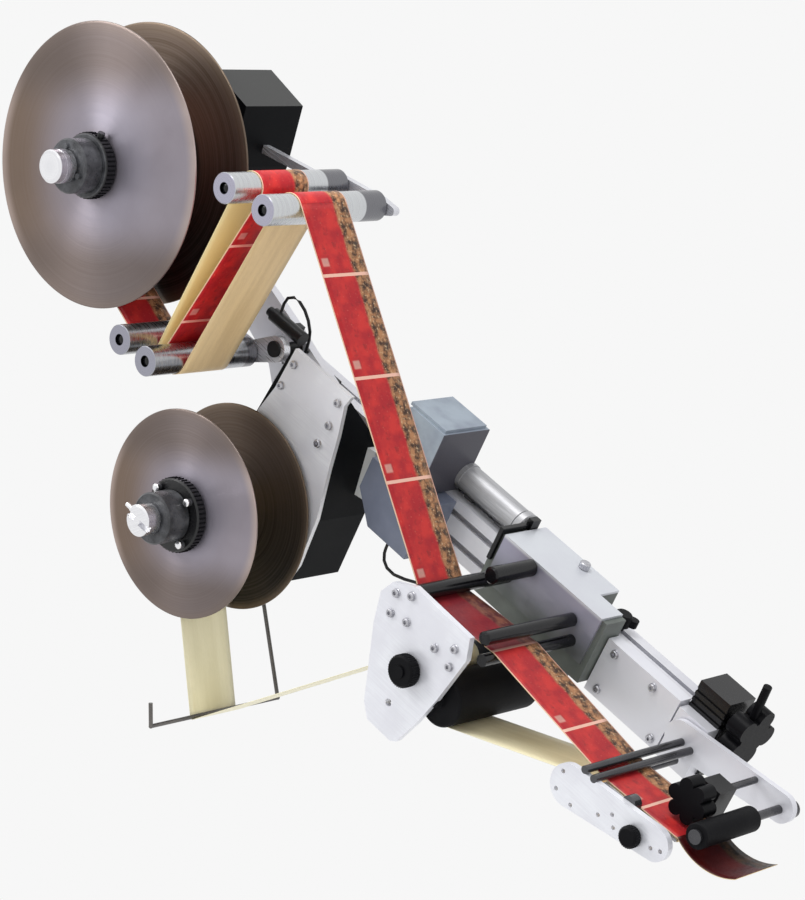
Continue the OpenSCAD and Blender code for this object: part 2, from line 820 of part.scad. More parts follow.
// housing: a shell, with a bearing boss round its shaft
module housing(y, shaft_x, shaft_z, boss_len) {
    difference() {
        union() {
            children();
            spin(shaft_x, y, shaft_z) cylinder(h = boss_len, d = bearing_boss_d);
        }
        spin(shaft_x, y - over, shaft_z) cylinder(h = boss_len + 2 * over, d = shaft_hole_d);
        for (at = [y + wall, y + boss_len - bearing_w])
            spin(shaft_x, at, shaft_z) cylinder(h = bearing_w + (at == y + wall ? 0 : over), d = bearing_d);
    }
}

module unwind_housing() {
    color("#1c1c1e") place() housing(unwind_box_y, 0, 0, unwind_boss_len) difference() {
        slab(unwind_box_y, unwind_box_depth - cover_t) polygon(unwind_outline);
        slab(unwind_box_y + wall, unwind_box_depth) offset(delta = -wall) polygon(unwind_outline);
    }
}

// rewind_outline: the rewinder's outline, inset by the thickness of its walls where it is hollowed
module rewind_outline(inset) {
    offset(delta = -inset) polygon(rewind_points);
}

// rewind_rear_outline: the same below and beside the support plate
module rewind_rear_outline(inset) {
    offset(delta = -inset) difference() {
        rewind_outline(0);
        translate([rewind_box_x - over, support_base - gap])
            square([support_end + gap - rewind_box_x + over, rewind_box_h]);
    }
}

// rewind_cut: what the slanting top cuts off, from the front's upper edge down to the rear
module rewind_cut(inset) {
    translate([rewind_box_x - over, rewind_box_y, rewind_box_z + rewind_box_h - inset / cos(rewind_cut_turn)])
        rotate([-rewind_cut_turn, 0, 0])
            cube([rewind_box_w + 2 * over, rewind_box_h, rewind_box_h]);
}

module rewind_shell(inset, front, middle, rear) {
    difference() {
        union() {
            slab(front, middle - front) rewind_outline(inset);
            slab(front, rear - front) rewind_rear_outline(inset);
        }
        rewind_cut(inset);
    }
}

module rewind_housing() {
    color("#1c1c1e") place() {
        housing(rewind_box_y, rewind_x, rewind_z, rewind_boss_len) difference() {
            rewind_shell(0, rewind_box_y, support_y - gap, beam_y - cover_t);
            rewind_shell(wall, rewind_box_y + wall, support_y - gap - wall, beam_y);
        }
        for (y = [wire_rear_y - wire_collar_w / 2 - gap - wire_lug_w, wire_rear_y + wire_collar_w / 2 + gap])
            difference() {
                block(wire_pivot_x - wire_collar_d / 2, y, rewind_box_z - wire_lug_h,
                    wire_collar_d, wire_lug_w, wire_lug_h);
                spin(wire_pivot_x, y - over, wire_pivot_z)
                    cylinder(h = wire_lug_w + 2 * over, d = wire_pin_d + 2 * fit);
            }
    }
}

module housing_covers() {
    color("#2a2a2c") place() {
        slab(unwind_box_y + unwind_box_depth - cover_t, cover_t) polygon(unwind_outline);
        difference() {
            slab(beam_y - cover_t, cover_t) rewind_rear_outline(0);
            rewind_cut(0);
        }
    }
}

module shaft_bearings() {
    color("lightgray") place() {
        for (at = [wall, unwind_boss_len - bearing_w])
            spin(0, unwind_box_y + at, 0) ring(bearing_d, shaft_d + 2 * fit, bearing_w);
        for (at = [wall, rewind_boss_len - bearing_w])
            spin(rewind_x, rewind_box_y + at, rewind_z) ring(bearing_d, shaft_d + 2 * fit, bearing_w);
    }
}

// mandrel: a shaft with the slotted core that carries a roll
module mandrel(x, z, front, rear, core_d) {
    spin(x, front, z) cylinder(h = rear - front, d = shaft_d);
    spin(x, 0, z) difference() {
        cylinder(h = reel_gap, d = core_d);
        for (i = [0 : core_groove_count - 1]) rotate(360 * i / core_groove_count)
            translate([core_d / 2 - core_groove_w, -core_groove_w / 2, -over])
                cube([2 * core_groove_w, core_groove_w, reel_gap + 2 * over]);
    }
}

// disc: a flat reel disc with a rounded rim
module disc(d, bore) {
    difference() {
        bevelled(d, disc_t, disc_edge);
        translate([0, 0, -over]) cylinder(h = disc_t + 2 * over, d = bore);
    }
}

unwind_hub_front = -disc_t - unwind_hub_base_t - unwind_hub_body_t;
unwind_shaft_front = unwind_hub_front + hub_front_wall + over;
rewind_hub_front = -disc_t - rewind_hub_base_t - rewind_hub_body_t;
rewind_shaft_front = rewind_hub_front + hub_front_wall + over;

module unwind_mandrel() {
    color("dimgray") place() mandrel(0, 0, unwind_shaft_front, unwind_box_y + unwind_boss_len + over, core_d);
}

module unwind_rear_disc() {
    color("#4a3f38") place() spin(0, reel_gap, 0) disc(unwind_disc_d, shaft_d);
}

module label_roll() {
    color("#b5443c") place() spin(0, web_y, 0) ring(label_roll_d, core_d, web_w);
}

module unwind_front_disc() {
    color("#8a8288") place() spin(0, -disc_t, 0) disc(unwind_disc_d, shaft_d + 2 * fit);
}

module unwind_hub() {
    color("#151517") place() spin(0, unwind_hub_front, 0) difference() {
        union() {
            bevelled(unwind_hub_body_d, unwind_hub_body_t + over, knob_edge);
            translate([0, 0, unwind_hub_body_t]) bevelled(unwind_hub_d, unwind_hub_base_t, knob_edge);
            for (i = [0 : hub_screw_count - 1]) rotate(360 * i / hub_screw_count)
                translate([unwind_hub_body_d / 2 * hub_screw_pcd_share, 0, -hub_screw_h])
                    cylinder(h = hub_screw_h + over, d = hub_screw_d);
            translate([0, -unwind_hub_d / 2, unwind_hub_body_t + lug_d]) rotate([90, 0, 0])
                translate([0, 0, -lug_len / 2]) cylinder(h = lug_len, d = lug_d);
        }
        translate([0, 0, hub_front_wall])
            cylinder(h = unwind_hub_body_t + unwind_hub_base_t + over, d = shaft_d + 2 * fit);
        translate([0, 0, -over]) cylinder(h = hub_front_wall + 2 * over, d = knob_stud_d + 2 * fit);
    }
}

module unwind_knob() {
    color("silver") place() spin(0, unwind_hub_front - gap - unwind_knob_t, 0) {
        bevelled(unwind_knob_d, unwind_knob_t, knob_edge);
        cylinder(h = unwind_knob_t + hub_front_wall, d = knob_stud_d);
    }
}

module rewind_mandrel() {
    color("dimgray") place()
        mandrel(rewind_x, rewind_z, rewind_shaft_front, rewind_box_y + rewind_boss_len + over,
            rewind_core_d);
}

module rewind_rear_disc() {
    color("#4a3f38") place() spin(rewind_x, reel_gap, rewind_z) disc(rewind_disc_d, shaft_d);
}

module liner_roll() {
    color("#e8deb0") place() spin(rewind_x, web_y, rewind_z) ring(liner_roll_d, rewind_core_d, liner_w);
}

module rewind_front_disc() {
    color("#8a8288") place() spin(rewind_x, -disc_t, rewind_z) disc(rewind_disc_d, shaft_d + 2 * fit);
}

module rewind_hub() {
    color("#151517") place() spin(rewind_x, rewind_hub_front, rewind_z) difference() {
        union() {
            bevelled(rewind_hub_body_d, rewind_hub_body_t + over, knob_edge);
            translate([0, 0, rewind_hub_body_t]) bevelled(rewind_hub_d, rewind_hub_base_t, knob_edge);
            for (i = [0 : rewind_pin_count - 1]) rotate(360 * i / rewind_pin_count + rewind_pin_turn)
                translate([rewind_hub_d / 2 * rewind_pin_pcd_share, 0, rewind_hub_body_t - rewind_pin_len])
                    cylinder(h = rewind_pin_len + over, d = rewind_pin_d);
        }
        translate([0, 0, hub_front_wall])
            cylinder(h = rewind_hub_body_t + rewind_hub_base_t + over, d = shaft_d + 2 * fit);
        translate([0, 0, -over]) cylinder(h = hub_front_wall + 2 * over, d = knob_stud_d + 2 * fit);
    }
}

module rewind_knob() {
    color("silver") place() spin(rewind_x, rewind_hub_front - gap - rewind_knob_t, rewind_z) {
        difference() {
            bevelled(rewind_knob_d, rewind_knob_t, knob_edge);
            translate([-rewind_knob_d, -rewind_slot_w / 2, -over])
                cube([2 * rewind_knob_d, rewind_slot_w, rewind_slot_depth + over]);
        }
        cylinder(h = rewind_knob_t + hub_front_wall, d = knob_stud_d);
        translate([-rewind_knob_d / 2 - rewind_spike_len + over, 0, rewind_knob_t / 2]) rotate([0, 90, 0])
            cylinder(h = rewind_spike_len, d = rewind_spike_d);
    }
}

// connector_block: a block with a row of contacts on the rewinder's slanting side
module connector_block() {
    color("white") place() translate([connector_seat[0], connector_y, connector_seat[1]])
        rotate([0, 180 - connector_lean, 0]) mirror([1, 0, 0]) translate([gap, 0, 0]) difference() {
            cube([connector_t, connector_w, connector_h]);
            for (i = [0 : connector_dot_count - 1])
                translate([connector_t - connector_dot_d / 2, connector_w / 2,
                    connector_h / connector_dot_count * i + connector_dot_d])
                    rotate([0, 90, 0]) cylinder(h = connector_dot_d, d = connector_dot_d);
        }
}

// box_side: where the unwinder's slanted side is at the height z
function box_side(z) = let(p = unwind_outline[2], q = unwind_outline[3])
    p[0] + (q[0] - p[0]) * (z - p[1]) / (q[1] - p[1]);

// bracket: the upper bracket with the two fixed spindles
module roller_bracket() {
    root_base = bracket_root_z - bracket_arm_h / 2;
    root_top = bracket_root_z + bracket_arm_h / 2;
    color("silver") place() {
        slab(bracket_y, bracket_t) {
            link(roller_1_x, roller_1_z, bracket_bar_h, roller_2_x, roller_2_z, bracket_bar_h);
            link(roller_2_x, roller_2_z, bracket_bar_h, roller_2_x + bracket_tail,
                roller_2_z + bracket_tail_rise, bracket_bar_h / 2);
            polygon([[box_side(root_base), root_base], [roller_1_x, roller_1_z - bracket_bar_h / 2],
                [roller_1_x, roller_1_z - bracket_bar_h / 2 + bracket_arm_h],
                [box_side(root_top), root_top]]);
        }
        for (p = [[roller_1_x, roller_1_z], [roller_2_x, roller_2_z]])
            spin(p[0], roller_y + roller_mouth_depth, p[1])
                cylinder(h = bracket_y - roller_y - roller_mouth_depth + over, d = spindle_d);
    }
}

// guide_roller: a plain tube with a wide mouth at its front end
module guide_roller(x, y, z, len) {
    color("silver") place() spin(x, y, z) difference() {
        bevelled(roller_d, len, over);
        translate([0, 0, -over]) cylinder(h = len + 2 * over, d = spindle_d + 2 * fit);
        translate([0, 0, -over]) cylinder(h = roller_mouth_depth + over, d = roller_mouth_d);
    }
}

module guide_roller_1() { guide_roller(roller_1_x, roller_y, roller_1_z, roller_len); }
module guide_roller_2() { guide_roller(roller_2_x, roller_y, roller_2_z, roller_len); }
module guide_roller_3() { guide_roller(roller_3_x, dancer_roller_y, roller_3_z, dancer_roller_len); }
module guide_roller_4() { guide_roller(roller_4_x, dancer_roller_y, roller_4_z, dancer_roller_len); }

module dancer_arm() {
    color("silver") place() {
        difference() {
            slab(dancer_arm_y, dancer_arm_t) {
                link(roller_3_x, roller_3_z, dancer_arm_w, roller_4_x, roller_4_z, dancer_arm_w);
                link(roller_4_x, roller_4_z, dancer_arm_w, dancer_x, dancer_z, dancer_hub_d);
            }
            spin(dancer_x, dancer_arm_y - over, dancer_z)
                cylinder(h = dancer_arm_t + 2 * over, d = dancer_pin_d + 2 * fit);
        }
        for (p = [[roller_3_x, roller_3_z], [roller_4_x, roller_4_z]])
            spin(p[0], dancer_roller_y + roller_mouth_depth, p[1])
                cylinder(h = dancer_arm_y - dancer_roller_y - roller_mouth_depth + over, d = spindle_d);
    }
}

// dancer_sensor: the dancer's pivot pin, and the black sensor that reads the arm
module dancer_sensor() {
    color("#101012") place() {
        spin(dancer_x, dancer_arm_y - dancer_cap_t - gap, dancer_z) {
            cylinder(h = dancer_cap_t, d = dancer_pin_d + 2 * dancer_cap_t);
            cylinder(h = support_y + support_t - dancer_arm_y + dancer_cap_t + gap, d = dancer_pin_d);
        }
        translate([sensor_x, sensor_y, sensor_z]) rotate([0, 90, 0]) {
            cylinder(h = sensor_len, d = sensor_d);
            translate([0, 0, -sensor_nose_len]) cylinder(h = sensor_nose_len + over, d = sensor_nose_d);
        }
        block(sensor_x + sensor_len / 2, sensor_y, sensor_z - sensor_clip_w / 2, sensor_clip_w,
            support_y - sensor_y, sensor_clip_w);
    }
}

// liner_wire: the swinging wire that the liner runs under
module liner_wire() {
    color("#3a3a3e") place() {
        spin(wire_pivot_x, wire_rear_y - wire_collar_w / 2, wire_pivot_z)
            cylinder(h = wire_collar_w, d = wire_collar_d);
        spin(wire_pivot_x, wire_rear_y - wire_collar_w / 2 - gap - wire_lug_w, wire_pivot_z)
            cylinder(h = wire_collar_w + 2 * (gap + wire_lug_w), d = wire_pin_d);
        lean = atan2(wire_z - wire_pivot_z, wire_x - wire_pivot_x);
        translate([wire_pivot_x, wire_rear_y, wire_pivot_z]) rotate([0, 90 - lean, 0])
            cylinder(h = norm([wire_x - wire_pivot_x, wire_z - wire_pivot_z]), d = wire_d);
        spin(wire_x, -wire_front, wire_z) cylinder(h = wire_front + wire_rear_y, d = wire_d);
        for (y = [-wire_front, wire_rear_y])
            translate([wire_x, y, wire_z]) sphere(d = wire_d + wire_bend_swell);
        translate([wire_x, -wire_front, wire_z]) rotate([0, -tilt, 0]) cylinder(h = wire_hook_h, d = wire_d);
    }
}

module gearbox_case() {
    y = beam_y - gearbox_lead;
    color("#8d96a3") place() {
        difference() {
            block(gearbox_x, y, beam_top, gearbox_w, gearbox_depth, gearbox_h);
            translate([gearbox_x, y - over, beam_top + gearbox_h]) rotate([0, 45, 0])
                translate([-gearbox_corner, 0, -gearbox_corner])
                    cube([2 * gearbox_corner, gearbox_depth + 2 * over, 2 * gearbox_corner]);
        }
        block(gearbox_x + gearbox_lid_t, y + gearbox_lid_t, beam_top + gearbox_h,
            gearbox_w - 2 * gearbox_lid_t, gearbox_depth - 2 * gearbox_lid_t, gearbox_lid_t);
    }
}

module control_case() {
    top = beam_top - control_drop;
    y = beam_y - control_depth;
    color("#7d8695") place() slab(y, control_depth) polygon([[control_x, top],
        [control_x, top - control_h + control_cut], [control_x + control_cut, top - control_h],
        [control_x + control_w, top - control_h], [control_x + control_w, top]]);
}

module drive_motor() {
    x = gearbox_x + gearbox_w;
    y = beam_y + motor_set;
    color("silver") place() {
        translate([x, y, motor_z]) rotate([0, 90, 0]) {
            cylinder(h = motor_len, d = motor_d);
            translate([0, 0, motor_len]) bevelled(motor_cap_d, motor_cap_len, knob_edge);
            cylinder(h = motor_cap_len / 2, d = motor_cap_d);
        }
        for (at = [motor_saddle_w, motor_len - 2 * motor_saddle_w])
            block(x + at, y - motor_saddle_w / 2, beam_top, motor_saddle_w, motor_saddle_w,
                motor_saddle_h + (motor_cap_d - motor_d) / 2 + over);
    }
}

module control_cables() {
    color("#101012") place() {
        tube(sensor_cable_route, cable_d, cable_sides);
        tube(loop_cable_route, cable_d, cable_sides);
        tube(case_cable_route, cable_d, cable_sides);
    }
}

module drive_plate() {
    places = shares_at(drive_screw_shares, drive_plate_x, drive_plate_z, drive_plate_w, drive_plate_h);
    hole = shares_at([drive_hole_share], drive_plate_x, drive_plate_z, drive_plate_w, drive_plate_h)[0];
    color("gainsboro") place() difference() {
        slab(drive_plate_y, front_plate_t)
            polygon(shares_at(drive_plate_shares, drive_plate_x, drive_plate_z,
                drive_plate_w, drive_plate_h));
        holes(places, drive_plate_y, front_plate_t);
        spin(hole[0], drive_plate_y - over, hole[1]) cylinder(h = front_plate_t + 2 * over, d = drive_hole_d);
        spin(nip_knob_x, drive_plate_y - over, nip_knob_z)
            cylinder(h = front_plate_t + 2 * over, d = nip_stud_d + 2 * fit);
        spin(press_arm_pivot_x, drive_inner_y - front_plate_t / 2, press_arm_pivot_z)
            cylinder(h = front_plate_t, d = press_pin_d);
        spin(drive_x, drive_inner_y - front_plate_t / 2, drive_z)
            cylinder(h = front_plate_t, d = drive_journal_d + 2 * fit);
    }
}

module drive_casing() {
    color("#3c3c42") place() difference() {
        union() {
            block(casing_x, casing_y, casing_base, casing_w, casing_depth, casing_h);
            block(drive_x - neck_shift, casing_y, drive_z,
                neck_w, casing_depth, casing_base - drive_z + over);
            spin(drive_x, casing_y, drive_z) cylinder(h = casing_depth, d = drive_boss_d);
            block(panel_x, beam_y - over, beam_top, panel_top_w, saddle_depth + over, casing_rise);
        }
        block(casing_x + boss_wall, casing_y + boss_wall, casing_base + boss_wall,
            casing_w - 2 * boss_wall, casing_depth, casing_h - 2 * boss_wall);
        spin(drive_x, casing_y - over, drive_z)
            cylinder(h = casing_depth + 2 * over, d = drive_journal_d + 2 * fit);
    }
}

// casing_panel: the folded light sheet over the casing's front and top
module casing_panel() {
    color("#b9b6c2") place() {
        block(panel_x, panel_y, casing_top - panel_h, panel_w, panel_t, panel_h + panel_t);
        block(panel_x, panel_y, casing_top, panel_w, beam_y - panel_y, panel_t);
        block(panel_x, panel_y, casing_top, panel_top_w, beam_y - panel_y + saddle_depth, panel_t);
    }
}

// drive_bars: the web's entry, hold-down and exit bars, the pressure pivot and the end strap
module drive_bars() {
    color("#141416") place() {
        spin(entry_bar_x, drive_inner_y, entry_bar_z)
            cylinder(h = panel_y - drive_inner_y, d = entry_bar_d);
        spin(exit_bar_x, hold_bar_front, exit_bar_z) cylinder(h = panel_y - hold_bar_front, d = exit_bar_d);
        spin(hold_bar_x, hold_bar_front, hold_bar_z)
            bevelled(hold_bar_d, panel_y - hold_bar_front, knob_edge);
        spin(press_arm_pivot_x, drive_inner_y - front_plate_t / 2, press_arm_pivot_z)
            cylinder(h = press_roller_front + press_roller_len + 2 * press_arm_gap + press_arm_t
                + wall - drive_inner_y + front_plate_t / 2, d = press_pin_d);
        spin(thread_rod_x, thread_rod_front_y, thread_rod_z)
            bevelled(thread_rod_d, panel_y - thread_rod_front_y, knob_edge);
        translate([strap_x, casing_y - strap_w, 0]) {
            block(0, 0, strap_z, strap_w, strap_w, strap_top_z - strap_z);
            block(0, 0, casing_top, strap_w, strap_len, strap_top_z - casing_top);
            block(0, strap_len - over, casing_top, strap_head_w, strap_head_d, strap_head_h);
        }
    }
}

module drive_roller() {
    rear = casing_y + casing_depth - over;
    color("#18181a") place() {
        spin(drive_x, drive_roller_y, drive_z) bevelled(drive_roller_d, drive_roller_len, knob_edge);
        spin(drive_x, drive_inner_y - front_plate_t / 2, drive_z)
            cylinder(h = rear - drive_inner_y + front_plate_t / 2, d = drive_journal_d);
        spin(drive_x, drive_inner_y + press_arm_gap, drive_z)
            cylinder(h = casing_y - drive_inner_y - 2 * press_arm_gap, d = drive_shaft_d);
    }
}

module pressure_roller() {
    color("#2a2a2c") place() spin(pressure_x, press_roller_front, pressure_z) difference() {
        bevelled(pressure_roller_d, press_roller_len, over);
        translate([0, 0, -over]) cylinder(h = press_roller_len + 2 * over, d = press_pin_d + 2 * fit);
    }
}

// pressure_arms: two links on the pivot bar, joined by the pressure roller's axle
module pressure_arms() {
    front = press_roller_front - press_arm_gap - press_arm_t;
    rear = press_roller_front + press_roller_len + press_arm_gap;
    color("gray") place() {
        for (y = [front, rear]) difference() {
            slab(y, press_arm_t)
                link(press_arm_pivot_x, press_arm_pivot_z, press_arm_w, pressure_x, pressure_z, press_arm_w);
            spin(press_arm_pivot_x, y - over, press_arm_pivot_z)
                cylinder(h = press_arm_t + 2 * over, d = press_pin_d + 2 * fit);
        }
        spin(pressure_x, front, pressure_z) cylinder(h = rear + press_arm_t - front, d = press_pin_d);
    }
}

module nip_knob() {
    color("#111113") place() spin(nip_knob_x, drive_plate_y - gap - nip_knob_t, nip_knob_z) {
        bevelled(nip_knob_d, nip_knob_t, knob_edge);
        translate([0, 0, -nip_knob_cap_t]) cylinder(h = nip_knob_cap_t + over, d = nip_knob_cap_d);
        cylinder(h = nip_knob_t + gap + front_plate_t, d = nip_stud_d);
    }
}

// clamp_lever: the winged knob that clamps the drive unit to the beam
module clamp_lever() {
    color("#121214") place() translate([clamp_x, beam_y + beam_w / 2, beam_top + gap]) {
        translate([0, 0, -gap - clamp_stud_len]) cylinder(h = clamp_stud_len + gap + over, d = clamp_stud_d);
        cylinder(h = clamp_stem_h + over, d = clamp_stem_d);
        translate([0, 0, clamp_stem_h]) bevelled(clamp_hub_d, clamp_hub_t, knob_edge);
        translate([0, 0, clamp_wing_rise]) linear_extrude(clamp_wing_h)
            rotate(clamp_wing_turn)
                link(-clamp_wing_len / 2, 0, clamp_wing_w, clamp_wing_len / 2, 0, clamp_wing_w);
    }
}

// carriage: the block on the beam's lower end that carries the dispenser
module carriage() {
    z = beam_base - carriage_under;
    color("gainsboro") place() difference() {
        block(carriage_x, beam_y - carriage_t, z, beam_end - carriage_x, carriage_t, beam_top - z);
        spin(rod_a_x, beam_y - carriage_t - over, rod_a_z)
            cylinder(h = rod_rear_over + 2 * over, d = rod_d + 2 * fit);
    }
}

module lock_knob() {
    z = beam_top + lock_z_rise;
    x = beam_end + cap_t + gap;
    color("#101012") place() translate([x, beam_y + beam_w / 2, z]) rotate([0, 90, 0]) {
        translate([0, 0, lock_stem_len]) linear_extrude(lock_knob_t)
            rotate(lock_knob_turn) star(lock_knob_d, star_lobes - 1);
        cylinder(h = lock_stem_len + over, d = lock_stem_d);
        translate([0, 0, lock_stem_len + lock_knob_t / 2]) rotate([0, -90, lock_lever_turn])
            cylinder(h = lock_lever_len, d = lock_lever_d);
    }
}

module peel_front_plate() {
    low_x = peel_left_x - peel_left_d / 2;
    color("gainsboro") place() difference() {
        slab(peel_plate_y, front_plate_t)
            link(peel_left_x, peel_left_z, peel_left_d, peel_right_x, peel_right_z, peel_right_d);
        holes(shares_at(peel_hole_shares, low_x, peel_left_z - peel_left_d / 2,
            peel_right_x + peel_right_d / 2 - low_x, peel_left_d), peel_plate_y, front_plate_t);
        for (p = [[rod_a_x, rod_a_z], [rod_b_x, rod_b_z]]) spin(p[0], peel_plate_y - over, p[1])
            cylinder(h = front_plate_t + 2 * over, d = rod_d);
        spin(peel_knob_x, peel_plate_y - over, peel_knob_z)
            cylinder(h = front_plate_t + 2 * over, d = peel_stud_d + 2 * fit);
    }
}

module peel_rear_plate() {
    color("gainsboro") place() {
        difference() {
            slab(peel_rear_y, peel_rear_t)
                link(rear_left_x, rear_left_z, rear_left_d, rear_right_x, rear_right_z, rear_right_d);
            for (p = [[rod_a_x, rod_a_z], [rod_b_x, rod_b_z]]) spin(p[0], peel_rear_y - over, p[1])
                cylinder(h = peel_rear_t + 2 * over, d = rod_d);
        }
    }
}

module peel_blade() {
    color("silver") place() slab(0, reel_gap)
        link(blade_x, blade_root_z, blade_t, nose_x, nose_z, blade_nose_d);
}

module peel_rods() {
    color("#303034") place() {
        spin(rod_a_x, peel_plate_y, rod_a_z)
            cylinder(h = beam_y - carriage_t + rod_rear_over - peel_plate_y, d = rod_d);
        spin(rod_b_x, peel_plate_y, rod_b_z)
            cylinder(h = peel_rear_y + peel_rear_t - peel_plate_y, d = rod_d);
        spin(rod_c_x, peel_inner_y, rod_c_z) cylinder(h = peel_rear_y - peel_inner_y, d = rod_c_d);
        spin(edge_stop_x, peel_inner_y, edge_stop_z) cylinder(h = -peel_inner_y - gap, d = edge_stop_d);
        spin(sensor_rod_x, star_y + star_len - star_bore_len, sensor_rod_z)
            cylinder(h = peel_rear_y - star_y - star_len + star_bore_len, d = sensor_rod_d);
        spin(press_x, press_y - gap - press_cap_t, press_z) {
            cylinder(h = press_cap_t, d = press_cap_d);
            cylinder(h = peel_rear_y - press_y + gap + press_cap_t, d = press_core_d);
        }
        spin(end_knob_x, peel_rear_y + peel_rear_t, end_knob_z) bevelled(end_knob_d, end_knob_t, knob_edge);
    }
}

module sensor_block() {
    color("#202024") place() difference() {
        block(sensor_rod_x - sensor_block_w / 2, sensor_block_y, sensor_rod_z + sensor_block_above
            - sensor_block_h, sensor_block_w, sensor_block_depth, sensor_block_h);
        spin(sensor_rod_x, sensor_block_y - over, sensor_rod_z)
            cylinder(h = sensor_block_depth + 2 * over, d = sensor_rod_d + 2 * fit);
    }
}

// star_knob: the lobed knob on the front end of the sensor's rod
module star_knob() {
    color("#0e0e10") place() spin(sensor_rod_x, star_y, sensor_rod_z) difference() {
        union() {
            linear_extrude(star_knob_t) star(star_knob_d, star_lobes);
            cylinder(h = star_len, d = star_stem_d);
        }
        translate([0, 0, star_len - star_bore_len - gap])
            cylinder(h = star_bore_len + gap + over, d = sensor_rod_d + 2 * fit);
    }
}

module peel_knob() {
    color("#111113") place() spin(peel_knob_x, peel_plate_y - gap - peel_knob_t, peel_knob_z) {
        bevelled(peel_knob_d, peel_knob_t, knob_edge);
        cylinder(h = peel_knob_t + gap + front_plate_t, d = peel_stud_d);
    }
}

module press_roller() {
    color("#3a3a40") place() spin(press_x, press_y, press_z) difference() {
        bevelled(press_roller_d, press_len, over);
        translate([0, 0, -over]) cylinder(h = press_len + 2 * over, d = press_core_d + 2 * fit);
    }
}

module web_feed() {
    color("#c8372f") place()
        belt([unwind_roll, free_end(reach(unwind_roll, bend_3, -web_join))], web_y, web_w);
}

module web_loop() {
    start = free_end(reach(unwind_roll, bend_3, -over));
    end = free_end(leave(bend_2, bend_entry, over));
    color("#d8b98a") place() belt([start, bend_3, bend_1, bend_4, bend_2, end], web_y, web_w);
}

module web_run() {
    color("#c8372f") place()
        belt([free_end(leave(bend_2, bend_entry, web_join)), bend_entry, bend_exit, bend_a], web_y, web_w);
}

// label_path: the stops of the free label, whose slope changes evenly from the blade's tip
function label_slope(i) = label_out_start_turn
    + (label_out_end_turn - label_out_start_turn) * i / label_out_steps;
function label_point(i, from) = i == 0 ? from : label_point(i - 1, from)
    + label_out_len / label_out_steps * [cos(label_slope(i)), sin(label_slope(i))];

module web_peel() {
    start = [rod_a_x + web_join, rod_a_z + bend_a[2] * -1, 0];
    tip = [nose_x - over, nose_z - bend_nose[2] + web_t + gap];
    color("#c8372f") place() {
        belt([start, bend_b, bend_nose, free_end(reach(bend_nose, bend_c, -web_join))], web_y, web_w);
        belt([for (i = [0 : label_out_steps]) free_end(label_point(i, tip))], web_y, web_w);
    }
}

module liner_return() {
    start = free_end(reach(bend_nose, bend_c, -over));
    end = free_end(leave(bend_nip, bend_wire, over));
    color("#e8deb0") place() belt([start, bend_c, bend_drive, bend_nip, end], web_y, liner_w);
}

module liner_tail() {
    start = free_end(leave(bend_nip, bend_wire, web_join));
    color("#e8deb0") place() belt([start, bend_wire, rewind_roll], web_y, liner_w);
}

backbone();
beam_trim();
carrier_flange();
mid_block();
frame_screws();
support_plate();
unwind_housing();
housing_covers();
shaft_bearings();
unwind_mandrel();
unwind_rear_disc();
label_roll();
unwind_front_disc();
unwind_hub();
unwind_knob();
roller_bracket();
guide_roller_1();
guide_roller_2();
guide_roller_3();
guide_roller_4();
dancer_arm();
dancer_sensor();
rewind_housing();
rewind_mandrel();
rewind_rear_disc();
liner_roll();
rewind_front_disc();
rewind_hub();
rewind_knob();
connector_block();
liner_wire();
gearbox_case();
control_case();
drive_motor();
control_cables();
drive_plate();
drive_casing();
casing_panel();
drive_bars();
drive_roller();
pressure_roller();
pressure_arms();
nip_knob();
clamp_lever();
carriage();
peel_front_plate();
peel_rear_plate();
peel_blade();
peel_rods();
sensor_block();
star_knob();
lock_knob();
peel_knob();
press_roller();
web_feed();
web_loop();
web_run();
web_peel();
liner_return();
liner_tail();
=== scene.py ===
"""Label dispensing head on its slanting beam: finishes, web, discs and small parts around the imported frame."""

import json
import math

import bmesh
import bpy
from mathutils import Matrix, Vector


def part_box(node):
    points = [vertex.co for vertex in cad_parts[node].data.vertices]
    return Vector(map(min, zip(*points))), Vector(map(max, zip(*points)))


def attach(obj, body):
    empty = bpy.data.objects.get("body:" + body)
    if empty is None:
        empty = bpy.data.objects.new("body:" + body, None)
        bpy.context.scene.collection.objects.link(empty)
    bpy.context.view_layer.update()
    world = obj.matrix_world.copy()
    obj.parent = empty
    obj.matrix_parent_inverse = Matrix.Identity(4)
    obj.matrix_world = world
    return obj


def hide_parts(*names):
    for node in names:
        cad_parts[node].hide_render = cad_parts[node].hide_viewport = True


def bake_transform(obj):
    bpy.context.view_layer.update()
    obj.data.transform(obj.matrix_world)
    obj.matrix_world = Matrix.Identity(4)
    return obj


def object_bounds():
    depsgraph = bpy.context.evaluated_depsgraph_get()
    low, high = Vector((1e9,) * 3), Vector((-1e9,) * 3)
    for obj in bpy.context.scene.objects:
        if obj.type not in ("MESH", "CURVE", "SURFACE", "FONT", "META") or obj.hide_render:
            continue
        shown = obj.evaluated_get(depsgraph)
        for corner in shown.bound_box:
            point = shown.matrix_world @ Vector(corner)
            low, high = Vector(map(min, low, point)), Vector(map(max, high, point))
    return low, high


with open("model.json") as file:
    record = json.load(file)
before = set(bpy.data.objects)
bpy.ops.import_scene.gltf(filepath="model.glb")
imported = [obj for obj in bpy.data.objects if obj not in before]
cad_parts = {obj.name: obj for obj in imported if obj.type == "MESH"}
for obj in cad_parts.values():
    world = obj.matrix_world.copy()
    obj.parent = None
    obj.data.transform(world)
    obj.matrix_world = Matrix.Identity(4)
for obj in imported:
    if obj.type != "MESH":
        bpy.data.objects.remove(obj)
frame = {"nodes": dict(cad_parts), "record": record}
cad_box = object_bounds()

